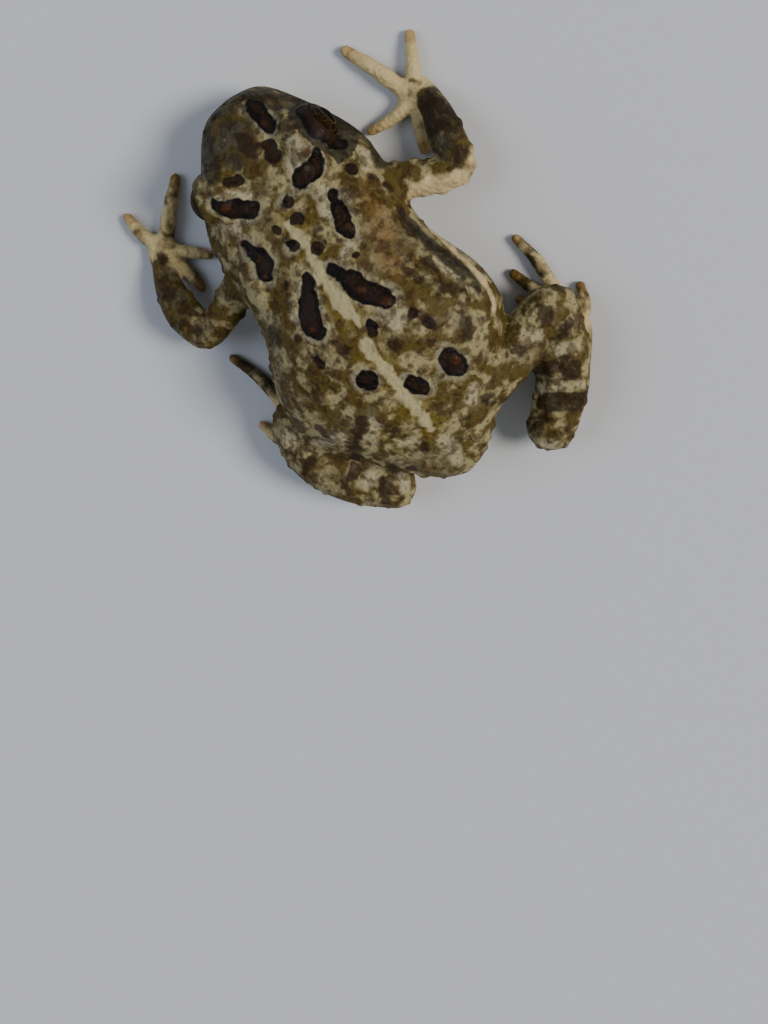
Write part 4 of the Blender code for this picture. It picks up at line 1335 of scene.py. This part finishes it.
@dataclass(frozen=True)
class Markings:
    """The marks on the animal in the photograph: pigment, and among the dark bands and blotches some painted
    shade on the head.

    Each is a list of points, in the photograph's pixels with a half width in millimetres. They are cast
    through the camera onto the skin.
    """

    blotches: tuple[tuple[Mark, ...], ...] = (
        # On the lids, behind the shoulders, and the long ones between them.
        ((215, 206, 0.38), (223, 209, 0.56), (234, 211, 0.66), (245, 210, 0.62), (253, 210, 0.46)),
        ((317, 152, 0.30), (316, 161, 0.46), (311, 170, 0.68), (302, 179, 0.62)),
        ((245, 244, 0.26), (253, 252, 0.40), (262, 259, 0.56), (266, 266, 0.68), (265, 274, 0.50)),
        ((332, 194, 0.34), (335, 201, 0.28), (338, 208, 0.48), (343, 220, 0.58), (347, 230, 0.50)),
        (
            (307, 276, 0.30), (308, 284, 0.38), (309, 294, 0.48), (309, 305, 0.66), (309, 315, 0.80),
            (312, 324, 0.82), (317, 331, 0.60),
        ),
        ((332, 271, 0.38), (340, 275, 0.42)),
        ((351, 282, 0.66), (361, 290, 0.74), (373, 294, 0.66), (386, 300, 0.62)),
        # On snout, neck, back, rump and flank. The last, from the right nostril to the eye, is painted shade
        # on the right side of the face.
        ((250, 103, 0.36), (256, 109, 0.50), (262, 116, 0.44), (270, 127, 0.46)), ((285, 202, 0.26),),
        ((291, 245, 0.24),), ((369, 323, 0.22), (374, 325, 0.22)), ((367, 379, 0.66),),
        ((412, 383, 0.50), (420, 388, 0.58)), ((449, 359, 0.64), (458, 367, 0.70)),
        ((303, 108, 0.42), (310, 120, 0.58), (322, 130, 0.66), (334, 138, 0.60), (341, 144, 0.42)),
    )
    smudges: tuple[tuple[Mark, ...], ...] = (
        # On head, neck and shoulder.
        ((284, 125, 0.38), (290, 132, 0.34)), ((316, 229, 0.40), (317, 240, 0.34)),
        ((243, 140, 0.42), (252, 148, 0.50)), ((246, 95, 0.34), (266, 96, 0.36)),
        ((371, 177, 0.30), (380, 182, 0.32), (388, 186, 0.36)),
        # On back and sides.
        ((314, 358, 0.30), (323, 367, 0.38)), ((410, 272, 0.40), (422, 282, 0.46)),
        ((408, 304, 0.36), (414, 314, 0.40)), ((426, 320, 0.34), (433, 326, 0.36)),
        ((443, 286, 0.40), (458, 290, 0.44)), ((462, 320, 0.44), (468, 334, 0.46)),
        ((404, 220, 0.36), (412, 232, 0.42)), ((428, 262, 0.34), (436, 268, 0.36)),
        ((272, 330, 0.36), (278, 342, 0.34)),
        # On the lower back and rump.
        ((395, 345, 0.36),), ((340, 345, 0.30), (345, 352, 0.34)), ((300, 338, 0.34),), ((324, 432, 0.46),),
        ((394, 432, 0.42),), ((430, 345, 0.34),), ((298, 428, 0.28),), ((424, 446, 0.38),),
        ((310, 460, 0.42),), ((466, 420, 0.38),), ((362, 418, 0.42), (356, 438, 0.46), (354, 456, 0.38)),
        # On the hind legs.
        ((518, 350, 0.52),), ((488, 398, 0.46),), ((544, 314, 0.62),),
        ((548, 342, 0.38), (560, 336, 0.44), (569, 322, 0.38)),
        ((541, 372, 0.58), (556, 368, 0.68), (574, 369, 0.60)),
        ((541, 404, 0.60), (560, 402, 0.74), (578, 402, 0.68)), ((530, 428, 0.36), (545, 420, 0.44)),
        ((300, 448, 0.36), (304, 466, 0.44)), ((356, 466, 0.36), (346, 482, 0.46)),
        ((391, 466, 0.36), (388, 484, 0.46), (385, 500, 0.42)),
        ((412, 468, 0.30), (419, 480, 0.36), (414, 496, 0.34)),
        # On the arms.
        ((462, 152, 0.40), (456, 164, 0.36)), ((186, 322, 0.40), (196, 330, 0.36)),
        ((156, 252, 0.30), (164, 258, 0.32)), ((163, 282, 0.40), (170, 296, 0.40)),
        ((182, 304, 0.44), (190, 314, 0.36)), ((413, 79, 0.34), (420, 84, 0.30)),
        ((429, 102, 0.50), (440, 106, 0.62), (448, 112, 0.44)), ((437, 126, 0.40), (448, 128, 0.34)),
    )
    spots: tuple[tuple[Mark, ...], ...] = (
        # On head and neck.
        ((270, 147, 0.46), (273, 156, 0.50)), ((228, 182, 0.32), (238, 179, 0.38)), ((352, 169, 0.42),),
        ((288, 201, 0.42),), ((298, 220, 0.42),), ((276, 230, 0.38),), ((293, 247, 0.38),),
        ((316, 247, 0.42),),
        # On the back.
        ((370, 327, 0.38), (371, 333, 0.34)), ((287, 284, 0.20), (287, 288, 0.20)), ((357, 255, 0.20),),
        ((412, 312, 0.30), (415, 316, 0.26)), ((430, 323, 0.34),),
        ((312, 356, 0.22), (318, 362, 0.30), (323, 366, 0.28)),
    )
    stripe: tuple[Mark, ...] = (
        (284, 222, 0.15), (296, 233, 0.30), (306, 241, 0.42), (310, 252, 0.20), (313, 262, 0.24),
        (319, 274, 0.42), (326, 283, 0.30), (333, 291, 0.24), (342, 303, 0.54), (350, 313, 0.56),
        (357, 321, 0.30), (363, 331, 0.16), (369, 346, 0.42), (374, 356, 0.36), (384, 368, 0.40),
        (394, 381, 0.42), (404, 394, 0.44), (414, 406, 0.42), (424, 418, 0.36), (432, 428, 0.22),
    )
    dark_bands: tuple[tuple[Mark, ...], ...] = (
        (
            (402, 212, 0.35), (418, 230, 0.48), (434, 246, 0.56), (451, 261, 0.60), (467, 275, 0.52),
            (479, 288, 0.36),
        ),
        # These three are painted shade on the sides and front of the head: behind the right eye, on the left
        # side of the face and along the snout.
        ((345, 130, 0.55), (358, 136, 0.60), (370, 146, 0.50)),
        ((205, 130, 0.80), (208, 155, 0.90), (214, 176, 0.50)),
        ((214, 112, 0.60), (226, 100, 0.60), (246, 92, 0.50), (270, 94, 0.50), (290, 100, 0.50)),
    )
    pale_bands: tuple[tuple[Mark, ...], ...] = (
        (
            (430, 229, 0.20), (447, 244, 0.28), (463, 259, 0.34), (478, 273, 0.36), (490, 290, 0.34),
            (494, 308, 0.28),
        ),
    )
    tan_bands: tuple[tuple[Mark, ...], ...] = (
        ((364, 184, 0.60), (376, 206, 1.00), (385, 232, 1.10), (392, 262, 0.90), (400, 284, 0.50)),
    )
    olive_patches: tuple[tuple[Mark, ...], ...] = (
        ((286, 258, 0.36), (282, 282, 0.46), (279, 308, 0.46)),
        ((258, 222, 0.36), (268, 236, 0.36), (282, 246, 0.30)),
        ((316, 344, 0.40), (334, 352, 0.46), (352, 346, 0.40)), ((298, 344, 0.40), (304, 362, 0.46)),
        ((370, 338, 0.30), (384, 342, 0.44), (398, 354, 0.40)), ((326, 262, 0.30), (338, 256, 0.30)),
        ((250, 152, 0.50), (260, 166, 0.46)), ((300, 196, 0.34), (310, 206, 0.30)),
        ((396, 368, 0.34), (408, 372, 0.30)), ((344, 376, 0.40), (350, 392, 0.40)),
        ((440, 400, 0.50), (452, 392, 0.40)),
    )
    light_patches: tuple[tuple[Mark, ...], ...] = (
        ((396, 326, 0.36), (404, 317, 0.44)), ((292, 140, 0.42), (297, 152, 0.50), (292, 166, 0.44)),
        ((324, 318, 0.20), (328, 326, 0.26)), ((228, 196, 0.22), (246, 196, 0.28)),
        ((216, 226, 0.22), (236, 228, 0.26)), ((320, 186, 0.30), (325, 196, 0.32), (328, 212, 0.28)),
        ((299, 280, 0.16), (297, 298, 0.20), (297, 312, 0.26)), ((352, 246, 0.30), (346, 256, 0.26)),
        ((362, 150, 0.34), (370, 158, 0.42), (366, 168, 0.30)),
        ((434, 259, 0.16), (450, 271, 0.22), (465, 281, 0.26), (478, 292, 0.22)),
        ((286, 436, 0.50), (290, 442, 0.44)), ((316, 446, 0.32), (338, 438, 0.40)),
        ((374, 422, 0.36), (370, 446, 0.30)), ((400, 444, 0.24), (416, 440, 0.28)),
        ((446, 438, 0.46), (458, 460, 0.36)), ((472, 398, 0.32), (474, 390, 0.26)),
        ((378, 468, 0.40), (366, 484, 0.38)), ((402, 476, 0.36), (405, 490, 0.34)),
        ((540, 387, 0.22), (560, 386, 0.24), (582, 384, 0.22)), ((540, 444, 0.34), (556, 446, 0.36)),
        ((526, 332, 0.32), (536, 336, 0.28)), ((560, 350, 0.22), (578, 346, 0.24)),
    )

    def distance(self, points: np.ndarray, marks: Sequence[Mark], view: View, tree: BVHTree) -> np.ndarray:
        """The distance of each point from a mark's edge, below zero inside it.

        Args:
            points: the skin's points.
            marks: pixels, each with a half width.
            view: the camera that the pixels belong to.
            tree: the skin's faces, in millimetres.

        Returns:
            One distance for each point, in millimetres.
        """
        spots = []
        for x, y, half in marks:
            hit = tree.ray_cast(Vector(view.stand), view.ray((x, y)))[0]
            if hit is not None:
                spots.append((np.array(hit), half))
        nearest = np.full(len(points), FAR)
        for (a, half_a), (b, half_b) in zip(spots, spots[1:] or spots):
            gap, t = off_line(points, a, b)
            nearest = np.minimum(nearest, gap - (half_a + (half_b - half_a) * t))
        return nearest


@dataclass
class Skin:
    """The one skin over head, body and limbs."""

    voxel: float = 0.168
    smooth_rounds: int = 12
    push_back: float = -0.52
    ease_rounds: int = 14
    # Where limbs join: a place and a radius, and the shares of it that are eased in full and not at all.
    joints: tuple[tuple[float, float, float, float], ...] = (
        (5.6, -4.6, 3.2, 1.6), (-5.6, -4.6, 3.2, 1.6), (9.8, -2.9, 2.4, 1.1), (-9.7, -2.8, 2.4, 1.1),
        (10.1, -7.8, 1.1, 1.0), (-10.2, -7.3, 1.1, 1.0), (8.3, 4.8, 2.6, 1.3), (-10.1, 7.4, 2.6, 1.3),
        (5.2, 7.6, 4.2, 2.0), (-4.6, 8.8, 4.2, 2.0), (9.3, -8.9, 0.6, 0.9), (-9.3, -8.1, 0.6, 0.9),
    )
    ease_reach: tuple[float, float] = (0.7, 1.4)
    # Faces are divided twice, at first further round each feature. The rest is the reach at each feature.
    fine_steps: tuple[float, float] = (0.75, 0.0)
    fine_by_eye: float = 0.45
    fine_behind_eye: float = 0.2
    fine_by_nostril: float = 0.55
    fine_by_mouth: float = 0.5
    fine_behind_mouth: float = 0.4
    mouth: Mouth = Mouth()
    # The skin above the mouth's line is free for the lids to draw from the first height to the second.
    off_mouth: tuple[float, float] = (0.35, 1.1)
    nostril: Ring = Ring((1.02, -13.42, 4.14), 0.32, 0.12, 0.05, 0.17, 0.30)
    eardrum: Ring = Ring((5.62, -7.35, 4.05), 0.68, 0.12, 0.12, 0.45, 0.09, x_share=0.6)
    # How far the painted shade in a nostril reaches, and how dark the painted shade in the groove of the
    # mouth is.
    nostril_shade: float = 0.2
    groove_shade: float = 0.8
    eye: Eye = field(default_factory=Eye)
    warts: Warts = field(default_factory=Warts)
    ground: WartGround = WartGround()
    # Limits of the zones of colour: full at the first value of a pair and gone at the second.
    solid_share: float = 0.55
    belly_height: tuple[float, float] = (0.9, 2.6)
    belly_slope: tuple[float, float] = (-0.3, 0.3)
    belly_half_width: float = 8.0
    digit_height: tuple[float, float] = (1.0, 1.6)
    band_share: float = 0.9
    # The eardrum is lighter than the painted shade on the side of the head round it: over what reach, and by
    # how much.
    drum_bare: tuple[float, float] = (0.62, 0.6)
    # How far round the left and the right eye the dark margin of the lids reaches, in eye openings. Round the
    # right eye it spreads over the whole lid as painted shade.
    lid_dark_and_shade: tuple[float, float] = (1.06, 1.75)
    lid_soft: float = 0.12
    lid_strength: float = 1.3
    markings: Markings = Markings()

    def build(self, view: View) -> bpy.types.Object:
        """Models, sculpts and marks the skin.

        Args:
            view: the camera, which the markings are placed through.

        Returns:
            The skin.
        """
        forms = [Trunk().build(), *HeadForms().build()]
        for limb in (LEFT_LEG, RIGHT_LEG, LEFT_ARM, RIGHT_ARM):
            forms += limb.build()
        skin = self.join(forms)
        self.settle(skin)
        self.refine(skin)
        self.sculpt(skin)
        self.mark(skin, view)
        skin.data.shade_smooth()
        return skin

    def join(self, forms: list[bpy.types.Object]) -> bpy.types.Object:
        """Joins the forms and grows one even mesh over them.

        Args:
            forms: the forms under the skin, which it uses up.

        Returns:
            The skin, in metres.
        """
        bpy.ops.object.select_all(action="DESELECT")
        for form in forms:
            form.select_set(True)
        bpy.context.view_layer.objects.active = forms[0]
        bpy.ops.object.join()
        skin = bpy.context.active_object
        skin.name = "skin"
        remesh = skin.modifiers.new("remesh", "REMESH")
        remesh.mode = "VOXEL"
        remesh.voxel_size = self.voxel * MM
        bpy.ops.object.modifier_apply(modifier=remesh.name)
        return skin

    def settle(self, skin: bpy.types.Object) -> None:
        """Smooths the steps of the mesh away, and eases the skin where limbs join.

        Args:
            skin: the skin to smooth.
        """
        points, edges = points_of(skin), edges_of(skin)
        for _ in range(self.smooth_rounds):
            points = relaxed(points, edges, 0.5)
            points = relaxed(points, edges, self.push_back)
        ease_off = np.zeros(len(points))
        inner, outer = self.ease_reach
        for x, y, z, radius in self.joints:
            gap = np.linalg.norm(points - (x, y, z), axis=1)
            ease_off = np.maximum(ease_off, 1 - ease(gap, radius * inner, radius * outer))
        for _ in range(self.ease_rounds):
            points = relaxed(points, edges, ease_off * 0.5)
        put_points(skin, points)

    def refine(self, skin: bpy.types.Object) -> None:
        """Divides the faces round the eyes, the nostrils and the line of the mouth.

        Args:
            skin: the skin to divide.
        """
        bpy.ops.object.mode_set(mode="EDIT")
        bpy.ops.mesh.select_mode(type="FACE")
        for wider in self.fine_steps:
            bpy.ops.mesh.select_all(action="DESELECT")
            mesh = bmesh.from_edit_mesh(skin.data)
            for face in mesh.faces:
                face.select_set(self.is_fine(face.calc_center_median() / MM, wider))
            bmesh.update_edit_mesh(skin.data)
            bpy.ops.mesh.subdivide(number_cuts=1)
        bpy.ops.object.mode_set(mode="OBJECT")

    def is_fine(self, place: Vector, wider: float) -> bool:
        """Says whether a place on the skin needs small faces.

        Args:
            place: the place, in millimetres.
            wider: how much further round each feature the first division reaches, and 0 for the second.

        Returns:
            True near an eye, a nostril or the line of the mouth.
        """
        if place.y > self.mouth.back + self.fine_behind_mouth:
            return False
        across = Vector((abs(place.x), place.y, place.z))
        from_eye = across - Vector(self.eye.centre)
        if abs(from_eye.length - self.eye.radius) < self.fine_by_eye + wider / 2:
            gaze, _, _ = self.eye.frame_of(Side.LEFT)
            return float(np.array(from_eye) @ gaze) > -self.fine_behind_eye
        if (across - Vector(self.nostril.centre)).length < self.fine_by_nostril + wider:
            return True
        return wider > 0 and abs(place.z - self.mouth.at(place.y)) < self.fine_by_mouth

    def sculpt(self, skin: bpy.types.Object) -> None:
        """Shapes warts, lids, mouth, nostrils and eardrums, and sets belly and feet flat on the floor.

        Args:
            skin: the skin to shape.
        """
        points, normals = points_of(skin), normals_of(skin)
        tree = self.faces_of(skin)
        allowed = self.wart_ground(points, normals)
        chosen = self.warts.choose(points, allowed, tree)
        lift, mask = self.warts.raise_on(points, chosen)
        LOG.info("warts: %d", len(chosen))
        for feature in (self.mouth, self.nostril, self.eardrum):
            lift += feature.lift(points)
        # Painted shade in the nostrils and along the groove of the mouth.
        nose_shade = ridge(self.nostril.gap(points), 0.0, self.nostril_shade)
        pit_shade = np.maximum(nose_shade, self.groove_shade * self.mouth.groove_at(points))
        free = ease(self.mouth.above(points), *self.off_mouth)
        points = self.eye.shape_lids(points + normals * lift[:, None], edges_of(skin), free)
        points[:, 2] = np.maximum(points[:, 2], 0.0)
        put_points(skin, points)
        store(skin, "wart", mask)
        store(skin, "pit_shade", pit_shade)

    def faces_of(self, skin: bpy.types.Object) -> BVHTree:
        """The skin's faces, for casting rays at.

        Args:
            skin: the skin to read.

        Returns:
            A tree of the faces, in millimetres.
        """
        faces = [tuple(face.vertices) for face in skin.data.polygons]
        return BVHTree.FromPolygons([tuple(point) for point in points_of(skin)], faces)

    def wart_ground(self, points: np.ndarray, normals: np.ndarray) -> np.ndarray:
        """Says where warts belong: on back and flanks, fewer on limbs and crown, none on digits and lips.

        Args:
            points: the skin's points.
            normals: the outward normals there.

        Returns:
            How welcome a wart is at each point, from 0 to 1.
        """
        ground = self.ground
        over_lip = ease(self.mouth.above(points), *ground.over_lip)
        lips = np.where(points[:, 1] < ground.head_front, over_lip, 1.0)
        head = 1 - ground.head_bare * ease(-points[:, 1], *ground.head)
        eyes = ease(np.linalg.norm(on_left(points) - self.eye.centre, axis=1), *ground.off_eye)
        nose = ease(self.nostril.gap(points), *ground.off_nostril)
        up, high = ease(normals[:, 2], *ground.upward), ease(points[:, 2], *ground.off_floor)
        return up * high * head * lips * eyes * nose

    def mark(self, skin: bpy.types.Object, view: View) -> None:
        """Stores the markings and zones of colour that the material reads.

        Args:
            skin: the skin to mark.
            view: the camera that the markings are cast through.
        """
        points, normals, tree = points_of(skin), normals_of(skin), self.faces_of(skin)
        groups = {
            "blotch": self.markings.blotches,
            "smudge": self.markings.smudges,
            "spot": self.markings.spots,
            "stripe": (self.markings.stripe,),
            "light": self.markings.light_patches,
            "olive": self.markings.olive_patches,
        }
        for name, group in groups.items():
            nearest = np.full(len(points), FAR)
            for marks in group:
                nearest = np.minimum(nearest, self.markings.distance(points, marks, view, tree))
            store(skin, name, np.clip(nearest, -1, 2))
        low = 1 - ease(points[:, 2], *self.belly_height)
        downward = 1 - ease(normals[:, 2], *self.belly_slope)
        store(skin, "belly", low * downward * (np.abs(points[:, 0]) < self.belly_half_width))
        zones = {name: np.zeros(len(points)) for name in ("dark", "pale", "tan")}
        # The dark paths hold painted shade on the head's sides and forehead; the pale paths hold a painted
        # highlight on the right arm's rear edge.
        for name, paths in (("dark", DARK_PATHS), ("pale", PALE_PATHS)):
            for strength, path in paths:
                np.maximum(zones[name], strength * self.along(points, path), out=zones[name])
        bands = {
            "dark": (self.markings.dark_bands, -0.30, 0.45),
            "pale": (self.markings.pale_bands, -0.30, 0.45),
            "tan": (self.markings.tan_bands, -0.80, 0.70),
        }
        for name, (group, inner, outer) in bands.items():
            for band in group:
                gap = self.markings.distance(points, band, view, tree)
                np.maximum(zones[name], self.band_share * (1 - ease(gap, inner, outer)), out=zones[name])
        reach, lighter = self.drum_bare
        zones["dark"] *= 1 - lighter * np.exp(-((self.eardrum.gap(points) / reach) ** 4))
        # Dark lid margins; round the right eye the dark reaches over the whole lid, as painted shade.
        for side, wide in zip(Side, self.lid_dark_and_shade):
            margin = 1 - ease(self.eye.round_it(points, side), wide - self.lid_soft, wide + self.lid_soft)
            np.maximum(zones["dark"], self.lid_strength * margin, out=zones["dark"])
        for name, values in zones.items():
            store(skin, name, values)
        for name, values in self.digit_zones(points).items():
            store(skin, name, values)

    def along(self, points: np.ndarray, path: Sequence[Row]) -> np.ndarray:
        """A soft zone about a path.

        Args:
            points: the skin's points.
            path: the path's points, each with its radius.

        Returns:
            1 near the path, falling to 0 at the radius.
        """
        value = np.zeros(len(points))
        rows = np.array(path, float)
        for a, b in zip(rows, rows[1:]):
            gap, t = off_line(points, a[:3], b[:3])
            radius = a[3] + (b[3] - a[3]) * t
            value = np.maximum(value, 1 - ease(gap / radius, self.solid_share, 1.0))
        return value

    def digit_zones(self, points: np.ndarray) -> dict[str, np.ndarray]:
        """Where the skin is the yellow tan of palms, soles and digits, and the darker tan of their tips.

        Args:
            points: the skin's points.

        Returns:
            One set of values for "digit" and one for "tip".
        """
        low = 1 - ease(points[:, 2], *self.digit_height)
        zones = {"digit": np.zeros(len(points)), "tip": np.zeros(len(points))}
        # Each row holds the digits, then strength and radius of the tan, then those of the darker tip.
        for paths, tan, tan_radius, dark, dark_radius in (
            (LEFT_ARM.fingers, 0.64, 1.4, 0.75, 1.0),
            (RIGHT_ARM.fingers, 1.0, 1.4, 0.75, 1.0),
            (LEFT_LEG.toes, 0.42, 1.1, 0.70, 0.9),
            (RIGHT_LEG.toes, 0.42, 1.1, 0.70, 0.9),
        ):
            for path in paths:
                for name, rows, strength, radius in (
                    ("digit", path, tan, tan_radius), ("tip", path[-1:] * 2, dark, dark_radius)
                ):
                    near = strength * self.along(points, [(*row[:3], radius) for row in rows])
                    np.maximum(zones[name], near, out=zones[name])
        return {name: values * low for name, values in zones.items()}


# Making.


def main() -> None:
    """Builds the scene in order."""
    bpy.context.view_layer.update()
    view = View()
    view.build()
    skin = Skin().build(view)
    dress(skin, ToadSkin().material())
    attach(skin, BODY)
    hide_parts(*FLESH)
    faces = sum(len(face.vertices) - 2 for face in skin.data.polygons)
    LOG.info("skin: %d triangles", faces)
    finish = WetEye().material()
    for side in Side:
        eye = Eye().build(side)
        dress(eye, finish)
        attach(eye, BODY)
        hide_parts("eye_" + side.name.lower())
        LOG.info("%s: %d faces", eye.name, len(eye.data.polygons))
    Studio().build()


if __name__ == "__main__":
    main()
